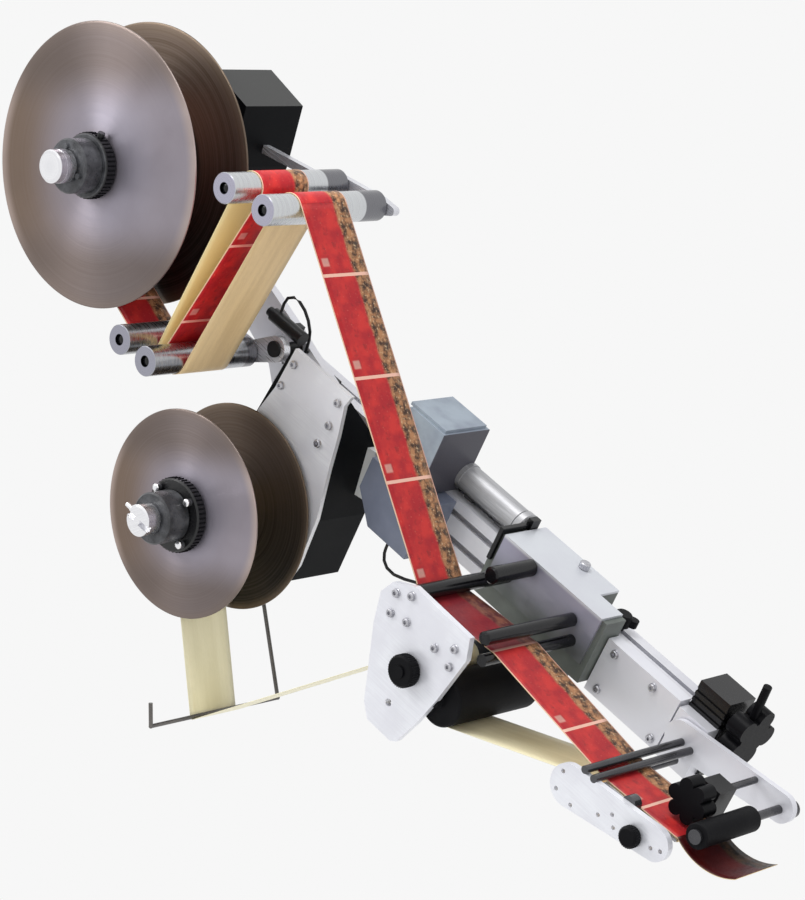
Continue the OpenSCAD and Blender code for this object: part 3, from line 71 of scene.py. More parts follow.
# Stations in millimetres: along the beam, to the rear, and square to the beam
TILT = math.radians(30)
MOUNT = (700, 258, -171)
REEL_GAP = 82
DISC_T = 3
UNWIND, REWIND = (0, 0), (327, -282)
UNWIND_DISC_R, REWIND_DISC_R = 171.5, 125
WEB_FRONT, WEB_REAR, WEB_MIDDLE = 3, 79, 41
WEB_T = 0.6
GAP = 0.3
TRIM = 1.1
ROLLER_FRONT, DANCER_ROLLER_FRONT = -40, -43
ROLLER_MOUTH_R = 6.3
ROLLER_SLEEVE = 152
PIN_COUNT, PIN_TURN, PIN_CIRCLE, PIN_R, PIN_FRONT = 4, 30, 37.4, 4.8, -27


def at(along, rear, square):
    """A point of the machine's own directions as a point of the frame, in metres."""
    a, y, s = along - MOUNT[0], rear - MOUNT[1], square - MOUNT[2]
    across, up = math.cos(TILT), math.sin(TILT)
    return Vector((a * across + s * up, y, s * across - a * up)) / 1000


# Camera, light and floor

def make_camera():
    data = bpy.data.cameras.new("photo_camera")
    camera = bpy.data.objects.new("photo_camera", data)
    bpy.context.collection.objects.link(camera)
    az, el = math.radians(41.78), math.radians(7.17)
    back = Vector((math.sin(az) * math.cos(el), -math.cos(az) * math.cos(el), math.sin(el)))
    right = Vector((math.cos(az), math.sin(az), 0))
    up = back.cross(right)
    turn = Matrix((right, up, back)).transposed().to_4x4()
    camera.matrix_world = Matrix.Translation((2.0145, -2.5467, 0.5816)) @ turn
    data.sensor_fit = "VERTICAL"
    data.sensor_height = 36
    data.lens = 112.88
    data.clip_end = 100
    bpy.context.scene.camera = camera
    return camera


def backdrop_switch(tree, lit, colour):
    """Shows a plain colour to camera, glossy and transmission rays, and the lit shader to all others."""
    nodes, links = tree.nodes, tree.links
    path = nodes.new("ShaderNodeLightPath")
    seen = path.outputs["Is Camera Ray"]
    for kind in ("Is Glossy Ray", "Is Transmission Ray"):
        either = nodes.new("ShaderNodeMath")
        either.operation = "MAXIMUM"
        links.new(seen, either.inputs[0])
        links.new(path.outputs[kind], either.inputs[1])
        seen = either.outputs[0]
    in_world = lit.bl_idname == "ShaderNodeBackground"
    plain = nodes.new("ShaderNodeBackground" if in_world else "ShaderNodeEmission")
    plain.inputs["Color"].default_value = (*colour, 1)
    mix = nodes.new("ShaderNodeMixShader")
    links.new(seen, mix.inputs[0])
    links.new(lit.outputs[0], mix.inputs[1])
    links.new(plain.outputs[0], mix.inputs[2])
    return mix


BACKDROP = (0.93, 0.93, 0.93)


def make_world():
    world = bpy.data.worlds.new("studio")
    bpy.context.scene.world = world
    world.use_nodes = True
    tree = world.node_tree
    tree.nodes.clear()
    lit = tree.nodes.new("ShaderNodeBackground")
    lit.inputs["Color"].default_value = (0.93, 0.95, 1, 1)
    lit.inputs["Strength"].default_value = 0.62
    mix = backdrop_switch(tree, lit, BACKDROP)
    out = tree.nodes.new("ShaderNodeOutputWorld")
    tree.links.new(mix.outputs[0], out.inputs[0])


def make_floor():
    clearance = 0.42
    low = cad_box[0][2] - clearance
    bpy.ops.mesh.primitive_circle_add(vertices=96, radius=24, fill_type="NGON", location=(0, 0, low))
    floor = bpy.context.object
    floor.name = "floor"
    mat = bpy.data.materials.new("pale_floor")
    mat.use_nodes = True
    tree = mat.node_tree
    tree.nodes.clear()
    lit = tree.nodes.new("ShaderNodeBsdfDiffuse")
    lit.inputs["Color"].default_value = (0.8, 0.8, 0.8, 1)
    mix = backdrop_switch(tree, lit, BACKDROP)
    out = tree.nodes.new("ShaderNodeOutputMaterial")
    tree.links.new(mix.outputs[0], out.inputs[0])
    floor.data.materials.append(mat)


def make_lamp(name, place, aim, size, power, colour=(1, 1, 1)):
    data = bpy.data.lights.new(name, "AREA")
    data.shape = "RECTANGLE"
    data.size, data.size_y = size
    data.energy = power
    data.color = colour
    lamp = bpy.data.objects.new(name, data)
    bpy.context.collection.objects.link(lamp)
    lamp.location = place
    lamp.rotation_euler = (Vector(aim) - Vector(place)).to_track_quat("-Z", "Y").to_euler()


def make_lights():
    make_lamp("key_softbox", (-2.3, -2.1, 2.3), (-0.3, -0.2, 0.1), (1.5, 1.5), 66)
    make_lamp("top_softbox", (0.5, -0.7, 3.0), (0, -0.1, 0), (1.6, 1.6), 50)
    make_lamp("side_softbox", (2.8, -1.2, 0.9), (0, -0.2, 0), (1.2, 1.6), 9)


# Shader groups that several finishes share

def new_group(name, inputs, outputs):
    group = bpy.data.node_groups.new(name, "ShaderNodeTree")
    for label, kind, value in inputs:
        sock = group.interface.new_socket(label, in_out="INPUT", socket_type=kind)
        if value is not None:
            sock.default_value = value
    for label, kind in outputs:
        group.interface.new_socket(label, in_out="OUTPUT", socket_type=kind)
    return group, group.nodes.new("NodeGroupInput"), group.nodes.new("NodeGroupOutput")


FLOAT, VECTOR = "NodeSocketFloat", "NodeSocketVector"


def maths(tree, operation, a, b=None, clamp=False):
    node = tree.nodes.new("ShaderNodeMath")
    node.operation = operation
    node.use_clamp = clamp
    for sock, value in zip(node.inputs, (a, b)):
        if value is None:
            continue
        if isinstance(value, (int, float)):
            sock.default_value = value
        else:
            tree.links.new(value, sock)
    return node.outputs[0]


def ramp(tree, value, low, high, to_low=0, to_high=1):
    node = tree.nodes.new("ShaderNodeMapRange")
    node.interpolation_type = "SMOOTHSTEP"
    for i, v in enumerate((low, high, to_low, to_high), 1):
        if isinstance(v, (int, float)):
            node.inputs[i].default_value = v
        else:
            tree.links.new(v, node.inputs[i])
    tree.links.new(value, node.inputs[0])
    return node.outputs[0]


def mix_colour(tree, share, a, b, blend="MIX"):
    node = tree.nodes.new("ShaderNodeMix")
    node.data_type = "RGBA"
    node.blend_type = blend
    node.clamp_factor = True
    for sock, value in ((node.inputs[0], share), (node.inputs[6], a), (node.inputs[7], b)):
        if isinstance(value, (int, float)):
            sock.default_value = value
        elif isinstance(value, tuple):
            sock.default_value = (*value, 1)
        else:
            tree.links.new(value, sock)
    return node.outputs[2]


def parts(tree, vector):
    """The three parts of a vector."""
    split = tree.nodes.new("ShaderNodeSeparateXYZ")
    tree.links.new(vector, split.inputs[0])
    return split.outputs


def noise(tree, vector, scale, detail=3, rough=0.55):
    node = tree.nodes.new("ShaderNodeTexNoise")
    tree.links.new(vector, node.inputs["Vector"])
    if isinstance(scale, (int, float)):
        node.inputs["Scale"].default_value = scale
    else:
        tree.links.new(scale, node.inputs["Scale"])
    node.inputs["Detail"].default_value = detail
    node.inputs["Roughness"].default_value = rough
    return node.outputs[0]


def grain_group():
    """Fine even grain, as of paint or bead-blasted metal, with slow cloudy handling marks."""
    inputs = [("Place", VECTOR, None), ("Fineness", FLOAT, 900.0), ("Cloud size", FLOAT, 14.0)]
    group, gin, gout = new_group("grain", inputs, [("Grain", FLOAT), ("Clouds", FLOAT)])
    fine = noise(group, gin.outputs["Place"], gin.outputs["Fineness"], 2, 0.6)
    cloud = noise(group, gin.outputs["Place"], gin.outputs["Cloud size"], 4, 0.55)
    group.links.new(fine, gout.inputs["Grain"])
    group.links.new(ramp(group, cloud, 0.35, 0.7), gout.inputs["Clouds"])
    return group


def brushed_group():
    """Long fine scratches along the first direction of the place that it is given."""
    inputs = [("Place", VECTOR, None), ("Fineness", FLOAT, 700.0), ("Stretch", FLOAT, 0.03)]
    group, gin, gout = new_group("brushed", inputs, [("Scratches", FLOAT)])
    x, y, z = parts(group, gin.outputs["Place"])
    join = group.nodes.new("ShaderNodeCombineXYZ")
    group.links.new(maths(group, "MULTIPLY", x, gin.outputs["Stretch"]), join.inputs[0])
    group.links.new(y, join.inputs[1])
    group.links.new(z, join.inputs[2])
    group.links.new(noise(group, join.outputs[0], gin.outputs["Fineness"], 2, 0.7), gout.inputs["Scratches"])
    return group


def turned_group():
    """Rings round the second axis of the place that it is given, as a lathe leaves them."""
    inputs = [("Place", VECTOR, None), ("Fineness", FLOAT, 900.0)]
    group, gin, gout = new_group("turned", inputs, [("Rings", FLOAT), ("Radius", FLOAT)])
    x, y, z = parts(group, gin.outputs["Place"])
    squares = maths(group, "ADD", maths(group, "POWER", x, 2), maths(group, "POWER", z, 2))
    radius = maths(group, "SQRT", squares)
    join = group.nodes.new("ShaderNodeCombineXYZ")
    group.links.new(radius, join.inputs[0])
    group.links.new(maths(group, "MULTIPLY", y, 0.6), join.inputs[1])
    group.links.new(noise(group, join.outputs[0], gin.outputs["Fineness"], 3, 0.7), gout.inputs["Rings"])
    group.links.new(radius, gout.inputs["Radius"])
    return group


GROUPS = {}


def placed_group(tree, name, place, **values):
    """One of the shared groups in a finish, with its own values."""
    if not GROUPS:
        GROUPS.update(grain=grain_group(), brushed=brushed_group(), turned=turned_group())
    node = tree.nodes.new("ShaderNodeGroup")
    node.node_tree = GROUPS[name]
    tree.links.new(place, node.inputs["Place"])
    for key, value in values.items():
        node.inputs[key.replace("_", " ").capitalize()].default_value = value
    return node


def object_place(tree, centre=(0, 0, 0), turned=True):
    """Object coordinates, counted from a point of the machine and along its own directions."""
    coordinates = tree.nodes.new("ShaderNodeTexCoord")
    mapping = tree.nodes.new("ShaderNodeMapping")
    mapping.vector_type = "TEXTURE"
    mapping.inputs["Location"].default_value = at(*centre)
    if turned:
        mapping.inputs["Rotation"].default_value = (0, TILT, 0)
    tree.links.new(coordinates.outputs["Object"], mapping.inputs[0])
    return mapping.outputs[0]


def new_finish(name, metallic=0.0, rough=0.4, specular=0.5, coat=0.0):
    mat = bpy.data.materials.new(name)
    mat.use_nodes = True
    tree = mat.node_tree
    shader = tree.nodes["Principled BSDF"]
    shader.inputs["Metallic"].default_value = metallic
    shader.inputs["Roughness"].default_value = rough
    shader.inputs["Specular IOR Level"].default_value = specular
    shader.inputs["Coat Weight"].default_value = coat
    return mat, tree, shader


def bump(tree, shader, height, strength, distance=0.0002):
    node = tree.nodes.new("ShaderNodeBump")
    node.inputs["Strength"].default_value = strength
    node.inputs["Distance"].default_value = distance
    tree.links.new(height, node.inputs["Height"])
    tree.links.new(node.outputs[0], shader.inputs["Normal"])


def dress(tree, shader, tint, marks, rough, depth):
    """Joins a tint to the shader, with roughness between two values and bumps that both follow the marks."""
    tree.links.new(tint, shader.inputs["Base Color"])
    tree.links.new(ramp(tree, marks, 0.3, 0.7, *rough), shader.inputs["Roughness"])
    bump(tree, shader, marks, depth)


def painted(name, colour, darker, rough=0.4, specular=0.5, fineness=900.0, depth=0.25, metallic=0.0,
        top_highlight=None):
    """Paint, moulded plastic or blasted metal: fine grain, cloudy marks, and, when a colour is given, a paler
    painted highlight on the faces that look up.
    """
    mat, tree, shader = new_finish(name, metallic, rough, specular)
    marks = placed_group(tree, "grain", object_place(tree), fineness=fineness)
    tint = mix_colour(tree, marks.outputs["Clouds"], darker, colour)
    if top_highlight:
        # Painted highlight: faces that look up are mixed towards a paler colour, as if lit from above.
        facing = tree.nodes.new("ShaderNodeTexCoord").outputs["Normal"]
        tint = mix_colour(tree, ramp(tree, parts(tree, facing)[2], 0.45, 0.8), tint, top_highlight)
    dress(tree, shader, tint, marks.outputs["Grain"], (rough - 0.06, rough + 0.08), depth)
    return mat


def satin(name, colour, darker, rough=0.34, metallic=0.85, centre=(0, 0, 0), fineness=700.0, depth=0.18):
    """Satin sheet or extrusion, with fine scratches along the beam."""
    mat, tree, shader = new_finish(name, metallic, rough)
    place = object_place(tree, centre)
    lines = placed_group(tree, "brushed", place, fineness=fineness)
    marks = placed_group(tree, "grain", place, cloud_size=9.0)
    both = maths(tree, "MULTIPLY", marks.outputs["Clouds"], lines.outputs[0])
    tint = mix_colour(tree, ramp(tree, both, 0.05, 0.55), darker, colour)
    dress(tree, shader, tint, lines.outputs[0], (rough - 0.07, rough + 0.1), depth)
    return mat


def turned(name, colour, darker, centre, rough=0.25, metallic=1.0, fineness=1400.0, depth=0.2):
    """Metal turned on a lathe about the axis to the rear through the centre."""
    mat, tree, shader = new_finish(name, metallic, rough)
    rings = placed_group(tree, "turned", object_place(tree, centre), fineness=fineness)
    tint = mix_colour(tree, ramp(tree, rings.outputs["Rings"], 0.3, 0.7), darker, colour)
    dress(tree, shader, tint, rings.outputs["Rings"], (rough - 0.06, rough + 0.08), depth)
    return mat


def tube(name, colour, shaded_colour, level, rough=0.24, metallic=0.9):
    """A drawn tube along the beam, with painted shade: darker below the level where it meets what carries it."""
    mat, tree, shader = new_finish(name, metallic, rough)
    place = object_place(tree, (0, 0, level))
    lines = placed_group(tree, "brushed", place, fineness=900.0)
    # Painted shade: below the level the tube takes the much darker colour.
    tint = mix_colour(tree, ramp(tree, parts(tree, place)[2], -0.011, 0.001), shaded_colour, colour)
    tint = mix_colour(tree, ramp(tree, lines.outputs[0], 0.35, 0.7, 0, 0.2), tint, (0.9, 0.9, 0.92))
    dress(tree, shader, tint, lines.outputs[0], (rough - 0.05, rough + 0.08), 0.1)
    return mat


def folded_sheet():
    """The cover's sheet, with painted light and shade: pale on its top, and greyer down its front leaf,
    darkening towards the bottom.
    """
    mat, tree, shader = new_finish("folded_sheet", 0.35, 0.36, 0.4)
    place = object_place(tree, (0, 0, -98))
    marks = placed_group(tree, "grain", place, cloud_size=11.0)
    lines = placed_group(tree, "brushed", place, fineness=600.0)
    height = parts(tree, place)[2]
    # Painted shade: the front leaf darkens downwards from the fold, and the top above the fold is painted paler.
    low, high = (0.085, 0.095, 0.088), (0.34, 0.335, 0.42)
    leaf = mix_colour(tree, ramp(tree, height, -0.058, -0.004), low, high)
    tint = mix_colour(tree, ramp(tree, height, -0.002, 0.0015), leaf, (0.64, 0.66, 0.69))
    tint = mix_colour(tree, maths(tree, "MULTIPLY", marks.outputs["Clouds"], 0.22), tint, (0.5, 0.48, 0.55))
    dress(tree, shader, tint, lines.outputs[0], (0.3, 0.46), 0.08)
    return mat


def gearbox_finish():
    """Blue-grey cast case, with painted shade: dark on its side towards the motor and below."""
    mat, tree, shader = new_finish("gearbox_case", 0, 0.42, 0.3)
    place = object_place(tree, (500, 0, -124))
    marks = placed_group(tree, "grain", place, cloud_size=18.0)
    along, _, height = parts(tree, place)
    clouds = marks.outputs["Clouds"]
    body = mix_colour(tree, clouds, (0.22, 0.25, 0.3), (0.32, 0.37, 0.42))
    # Painted shade on the side towards the motor and on the lower part of the case.
    side = ramp(tree, along, 0.0335, 0.0345)
    low = ramp(tree, maths(tree, "ADD", height, maths(tree, "MULTIPLY", clouds, 0.02)), -0.045, 0.02, 1, 0)
    side_and_foot_shade = maths(tree, "MAXIMUM", side, maths(tree, "MULTIPLY", low, 0.6))
    tint = mix_colour(tree, side_and_foot_shade, body, (0.07, 0.068, 0.085))
    dress(tree, shader, tint, marks.outputs["Grain"], (0.34, 0.48), 0.25)
    return mat


def hub_finish():
    """Clamp hubs: a speckled dark body in front of a black ring."""
    mat, tree, shader = new_finish("black_hubs", 0, 0.32, 0.45)
    place = object_place(tree, (0, -20, 0), turned=False)
    marks = placed_group(tree, "grain", place, fineness=420.0, cloud_size=60.0)
    body = mix_colour(tree, marks.outputs["Clouds"], (0.03, 0.031, 0.034), (0.085, 0.087, 0.094))
    tint = mix_colour(tree, ramp(tree, parts(tree, place)[1], -0.0005, 0.0005), body, (0.006, 0.006, 0.007))
    dress(tree, shader, tint, marks.outputs["Grain"], (0.26, 0.42), 0.3)
    return mat


def roller_finish(name, along, square, front, tints):
    """A polished guide roller: bright barrel, grey sleeve at its rear, turned end face, and a mouth painted
    black as painted shade.
    """
    mat, tree, shader = new_finish(name, 1.0, 0.28)
    place = object_place(tree, (along, front + 0.6, square))
    rings = placed_group(tree, "turned", place, fineness=400.0)
    rear = parts(tree, place)[1]
    barrel, low, face = tints
    sleeve, mouth = ROLLER_SLEEVE / 1000, (ROLLER_MOUTH_R + 0.3) / 1000
    tint = mix_colour(tree, ramp(tree, rings.outputs["Rings"], 0.3, 0.7), low, barrel)
    tint = mix_colour(tree, ramp(tree, rear, sleeve - 0.001, sleeve + 0.001), tint, (0.2, 0.2, 0.215))
    tint = mix_colour(tree, ramp(tree, rear, -0.0003, 0.0003, 1, 0), tint, face)
    # Painted shade: within the mouth's radius the roller is painted near black.
    mouth_shade_mask = ramp(tree, rings.outputs["Radius"], mouth, mouth + 0.0006, 1, 0)
    tint = mix_colour(tree, mouth_shade_mask, tint, (0.006, 0.007, 0.012))
    dress(tree, shader, tint, rings.outputs["Rings"], (0.25, 0.31), 0.012)
    return mat


# The path of the web: each stop is (along, square, radius), the radius above zero where it turns left

def left_of(angle):
    return Vector((-math.sin(angle), math.cos(angle)))


def way(angle):
    return Vector((math.cos(angle), math.sin(angle)))


def bend(along, square, diameter, side):
    return (along, square, side * (diameter / 2 + GAP + WEB_T / 2))


def heading(a, b):
    d = Vector(b[:2]) - Vector(a[:2])
    return math.atan2(d.y, d.x) - math.asin((b[2] - a[2]) / d.length)


STOPS = {
    "roll": (0, 0, 88 + GAP + WEB_T / 2), "three": bend(172, -134, 36, 1), "one": bend(232, 110, 36, -1),
    "four": bend(221, -132, 36, 1), "two": bend(296, 120, 36, -1), "entry": bend(680, -134, 18, 1),
    "exit": bend(792, -142, 14, -1), "rod_a": bend(967, -150, 9, 1), "rod_b": bend(981, -151, 9, 1),
}
BLADE_RISE = math.tan(math.radians(3.5))
STOPS["nose"] = bend(1086, -151 - STOPS["rod_b"][2] + 100 * BLADE_RISE - GAP - WEB_T / 2 - 1.5, 3, -1)
STOPS["rod_c"] = bend(970, -172.5, 10, 1)
STOPS["drive"] = bend(764, -220, 60, -1)
PRESS_TURN, PRESS_REACH = math.radians(165), 47.5
PRESS = (764 + PRESS_REACH * math.cos(PRESS_TURN), -220 + PRESS_REACH * math.sin(PRESS_TURN))
STOPS["nip"] = bend(*PRESS, 32, 1)
STOPS["wire"] = bend(457, -489, 5, -1)
STOPS["core"] = bend(*REWIND, 48, -1)
ORDER = ["roll", "three", "one", "four", "two", "entry", "exit", "rod_a", "rod_b", "nose", "rod_c", "drive",
    "nip", "wire", "core"]
GUIDE_ROLLERS = ("one", "two", "three", "four")


def web_line(first, last, before=0.0, after=0.0, straight=9.0, arc=math.radians(5)):
    """Points of the web's middle from one stop to another, each as (point, left side)."""
    stops = [STOPS[n] for n in ORDER[ORDER.index(first):ORDER.index(last) + 1]]
    heads = [heading(a, b) for a, b in zip(stops, stops[1:])]
    points = []

    def run(start, end, angle):
        n = max(1, math.ceil((end - start).length / straight))
        for i in range(n + 1):
            points.append((start.lerp(end, i / n), left_of(angle)))

    for i, (a, b) in enumerate(zip(stops, stops[1:])):
        angle = heads[i]
        start = Vector(a[:2]) - a[2] * left_of(angle)
        end = Vector(b[:2]) - b[2] * left_of(angle)
        if i == 0:
            start = start + before * way(angle)
        if i == len(heads) - 1:
            end = end + after * way(angle)
        run(start, end, angle)
        if i < len(heads) - 1:
            sweep = (heads[i + 1] - angle) % (2 * math.pi)
            if b[2] < 0:
                sweep -= 2 * math.pi
            n = max(2, math.ceil(abs(sweep) / arc))
            for k in range(1, n):
                h = angle + sweep * k / n
                points.append((Vector(b[:2]) - b[2] * left_of(h), left_of(h)))
    clean = [points[0]]
    for p in points[1:]:
        if (p[0] - clean[-1][0]).length > 0.05:
            clean.append(p)
    return clean


def line_lengths(points):
    lengths = [0.0]
    for (p, _), (q, _) in zip(points, points[1:]):
        lengths.append(lengths[-1] + (q - p).length)
    return lengths


def make_strip(name, points, materials, start_length=0.0, face_of=None, across=8):
    """A strip along the points with its own thickness. Its length, in metres, and its width run in the UV map.
    The first material is the left side, the second the right side and the edges."""
    lengths = line_lengths(points)
    mesh = bmesh.new()
    uv = mesh.loops.layers.uv.new("web")
    rows = []
    for p, side in points:
        row = []
        for offset in (WEB_T / 2, -WEB_T / 2):
            spot = p + offset * side
            rears = [WEB_FRONT + (WEB_REAR - WEB_FRONT) * j / across for j in range(across + 1)]
            row.append([mesh.verts.new(at(spot.x, rear, spot.y)) for rear in rears])
        rows.append(row)

    def face(corners, material, spots):
        f = mesh.faces.new(corners)
        f.material_index = material
        f.smooth = True
        for loop, (u, v) in zip(f.loops, spots):
            loop[uv].uv = (u, v)

    for i in range(len(rows) - 1):
        u0, u1 = (start_length + lengths[i]) / 1000, (start_length + lengths[i + 1]) / 1000
        a, b = rows[i], rows[i + 1]
        labelled = 0 if face_of is None else face_of(i)
        for j in range(across):
            v0, v1 = j / across, (j + 1) / across
            left = (a[0][j], a[0][j + 1], b[0][j + 1], b[0][j])
            right = (a[1][j], b[1][j], b[1][j + 1], a[1][j + 1])
            face(left, labelled, ((u0, v0), (u0, v1), (u1, v1), (u1, v0)))
            face(right, 1, ((u0, v0), (u1, v0), (u1, v1), (u0, v1)))
        for j, v in ((0, 0.0), (across, 1.0)):
            quad = (a[0][j], b[0][j], b[1][j], a[1][j]) if j == 0 else (a[0][j], a[1][j], b[1][j], b[0][j])
            face(quad, 1, ((u0, v), (u1, v), (u1, v), (u0, v)))
    for row, flip in ((rows[0], False), (rows[-1], True)):
        for j in range(across):
            quad = (row[0][j], row[1][j], row[1][j + 1], row[0][j + 1])
            face(quad[::-1] if flip else quad, 1, ((0, 0),) * 4)
    bmesh.ops.recalc_face_normals(mesh, faces=mesh.faces)
    data = bpy.data.meshes.new(name)
    mesh.to_mesh(data)
    mesh.free()
    for m in materials:
        data.materials.append(m)
    piece = bpy.data.objects.new(name, data)
    bpy.context.collection.objects.link(piece)
    return piece, lengths[-1]


LABEL_PITCH = 0.122
LABEL_PHASE = -0.0143


def label_finish(name="printed_labels", shade=1.0, shadow_span=None):
    """Printed labels: a red ground, a mottled brown and gold band along the rear, and pale gaps between."""
    mat, tree, shader = new_finish(name, 0, 0.4, 0.25)

    # Every ink is scaled by the shade: a copy with a shade above 1 is painted lighter, one below 1 painted
    # darker, as painted light and shade.
    def ink(*colour):
        return tuple(c * shade for c in colour)

    def apart(value, middle):
        return maths(tree, "ABSOLUTE", maths(tree, "SUBTRACT", value, middle))

    uv = tree.nodes.new("ShaderNodeUVMap")
    uv.uv_map = "web"
    length, across, _ = parts(tree, uv.outputs[0])
    turns = maths(tree, "DIVIDE", maths(tree, "ADD", length, LABEL_PHASE), LABEL_PITCH)
    turn = maths(tree, "FRACT", turns)
    place = tree.nodes.new("ShaderNodeCombineXYZ")
    tree.links.new(turn, place.inputs[0])
    tree.links.new(maths(tree, "MULTIPLY", across, 0.62), place.inputs[1])
    blotches = noise(tree, place.outputs[0], 12, 5, 0.62)
    swirls = noise(tree, place.outputs[0], 4.6, 3, 0.5)
    specks = noise(tree, place.outputs[0], 34, 3, 0.65)
    red = mix_colour(tree, ramp(tree, swirls, 0.35, 0.65), ink(0.38, 0.014, 0.02), ink(0.56, 0.03, 0.026))
    red = mix_colour(tree, ramp(tree, blotches, 0.52, 0.72, 0, 0.6), red, ink(0.17, 0.012, 0.016))
    red = mix_colour(tree, ramp(tree, specks, 0.6, 0.74, 0, 0.4), red, ink(0.72, 0.2, 0.14))
    brown = mix_colour(tree, ramp(tree, blotches, 0.38, 0.62), ink(0.045, 0.022, 0.014), ink(0.42, 0.2, 0.09))
    brown = mix_colour(tree, ramp(tree, specks, 0.54, 0.7, 0, 0.75), brown, ink(0.7, 0.5, 0.3))
    edge_line = maths(tree, "ADD", across, maths(tree, "MULTIPLY", swirls, 0.16))
    label = mix_colour(tree, ramp(tree, edge_line, 0.735, 0.81), red, brown)
    patch = maths(tree, "MULTIPLY", ramp(tree, apart(turn, 0.87), 0.03, 0.05, 1, 0),
        ramp(tree, apart(across, 0.15), 0.05, 0.09, 0.4, 0))
    label = mix_colour(tree, patch, label, ink(0.78, 0.62, 0.5))
    edge = maths(tree, "GREATER_THAN", apart(across, 0.5), 0.482)
    gaps = maths(tree, "GREATER_THAN", apart(turn, 0.5), 0.484)
    bare = maths(tree, "MAXIMUM", edge, gaps)
    label = mix_colour(tree, bare, label, ink(0.8, 0.47, 0.36))
    # Painted shadow: over the given span of the web's length the print is darkened towards deep maroon.
    if shadow_span:
        first, last = shadow_span
        stretch = maths(tree, "MULTIPLY", ramp(tree, length, first - 0.004, first + 0.004),
            ramp(tree, length, last - 0.004, last + 0.004, 1, 0))
        label = mix_colour(tree, maths(tree, "MULTIPLY", stretch, 0.7), label, (0.1, 0.012, 0.02))
    tree.links.new(label, shader.inputs["Base Color"])
    tree.links.new(ramp(tree, specks, 0.3, 0.7, 0.34, 0.48), shader.inputs["Roughness"])
    bump(tree, shader, maths(tree, "SUBTRACT", 1.0, bare), 0.4, 0.0001)
    return mat


def liner_finish(name, colour, darker, lit_first_tint=None, until=0.0):
    """Siliconised paper: faint fibres and long slow waves, and, when a tint is given, a first stretch painted
    lighter up to the given length as painted light.
    """
    mat, tree, shader = new_finish(name, 0, 0.42, 0.4)
    uv = tree.nodes.new("ShaderNodeUVMap")
    uv.uv_map = "web"
    fibres = noise(tree, uv.outputs[0], 130, 3, 0.6)
    waves = noise(tree, uv.outputs[0], 6, 2, 0.5)
    shade = maths(tree, "ADD", maths(tree, "MULTIPLY", fibres, 0.4), maths(tree, "MULTIPLY", waves, 0.6))
    tint = mix_colour(tree, ramp(tree, shade, 0.35, 0.65), darker, colour)
    if lit_first_tint:
        # Painted light: the strip's first stretch, up to the given length, is mixed towards a lighter tint.
        length = parts(tree, uv.outputs[0])[0]
        tint = mix_colour(tree, ramp(tree, length, until - 0.01, until + 0.01, 0.8, 0), tint, lit_first_tint)
    tree.links.new(tint, shader.inputs["Base Color"])
    bump(tree, shader, fibres, 0.06, 0.0001)
    return mat


def make_web(labels, lit_loop_labels, shaded_labels, back, loop_back, liner):
    """The label web and the liner in the pieces that the joints move apart."""
    feed, fed = make_strip("web_feed_strip", web_line("roll", "three", 0, -TRIM), (labels, back))
    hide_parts("web_feed")
    loop_points = trimmed("roll", "three", "two", "entry", 3)
    loop, looped = make_strip("web_loop_strip", loop_points, (lit_loop_labels, loop_back), fed)
    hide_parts("web_loop")
    run, ran = make_strip("web_run_strip", web_line("two", "rod_a", TRIM), (labels, back), fed + looped)
    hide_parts("web_run")
    peel_points = web_line("rod_a", "rod_c", TRIM + 0.1, -TRIM)
    nose = next(i for i, (p, _) in enumerate(peel_points) if p.x > STOPS["nose"][0] - 0.5)
    peel = make_strip("web_peel_strip", peel_points, (labels, back), fed + looped + ran,
        lambda i: 0 if i < nose else 1)[0]
    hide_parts("web_peel")
    back_run = make_strip("liner_return_strip", trimmed("nose", "rod_c", "nip", "wire"), (liner, liner))[0]
    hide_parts("liner_return")
    tail = make_strip("liner_tail_strip", web_line("nip", "core", TRIM, 0), (liner, liner))[0]
    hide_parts("liner_tail")
    gap_end, label_number = 6, 6
    whole_label = 1000 * (label_number * LABEL_PITCH - LABEL_PHASE) + gap_end
    curl = make_strip("free_label", curl_points(), (shaded_labels, back), whole_label)[0]
    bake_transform(feed)
    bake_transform(loop)
    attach(run, "frame")
    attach(peel, "peel_head")
    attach(curl, "peel_head")
    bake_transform(back_run)
    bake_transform(tail)


def trimmed(first, cut_first, cut_last, last, skipped=0):
    """The web between two stops, cut where the next pieces start: just outside the stops that carry it."""
    whole = web_line(first, last)
    angle = heading(STOPS[first], STOPS[cut_first])
    end_angle = heading(STOPS[cut_last], STOPS[last])
    b, c = STOPS[cut_first], STOPS[cut_last]
    start = Vector(b[:2]) - b[2] * left_of(angle) - TRIM * way(angle)
    end = Vector(c[:2]) - c[2] * left_of(end_angle) + TRIM * way(end_angle)
    from_start = [k for k in range(skipped, len(whole)) if (whole[k][0] - start).dot(way(angle)) > 0.1]
    nearest = min(range(len(whole)), key=lambda k: (whole[k][0] - end).length)

    def past_end(point):
        return (point - end).length < 9 and (point - end).dot(way(end_angle)) > -0.1

    middle = [p for p in whole[from_start[0]:nearest + 1] if not past_end(p[0])]
    return [(start, left_of(angle))] + middle + [(end, left_of(end_angle))]


def curl_points():
    """The free label, peeled half off at the blade's tip, and curling up as it goes."""
    length, first_slope, last_slope, steps = 84, -26, 42, 30
    point = Vector((STOPS["nose"][0] - 1, STOPS["nose"][1] - STOPS["nose"][2] + WEB_T + GAP))
    points = []
    for i in range(steps + 1):
        slope = math.radians(first_slope + (last_slope - first_slope) * i / steps)
        points.append((point.copy(), left_of(slope)))
        point = point + length / steps * way(slope)
    return points


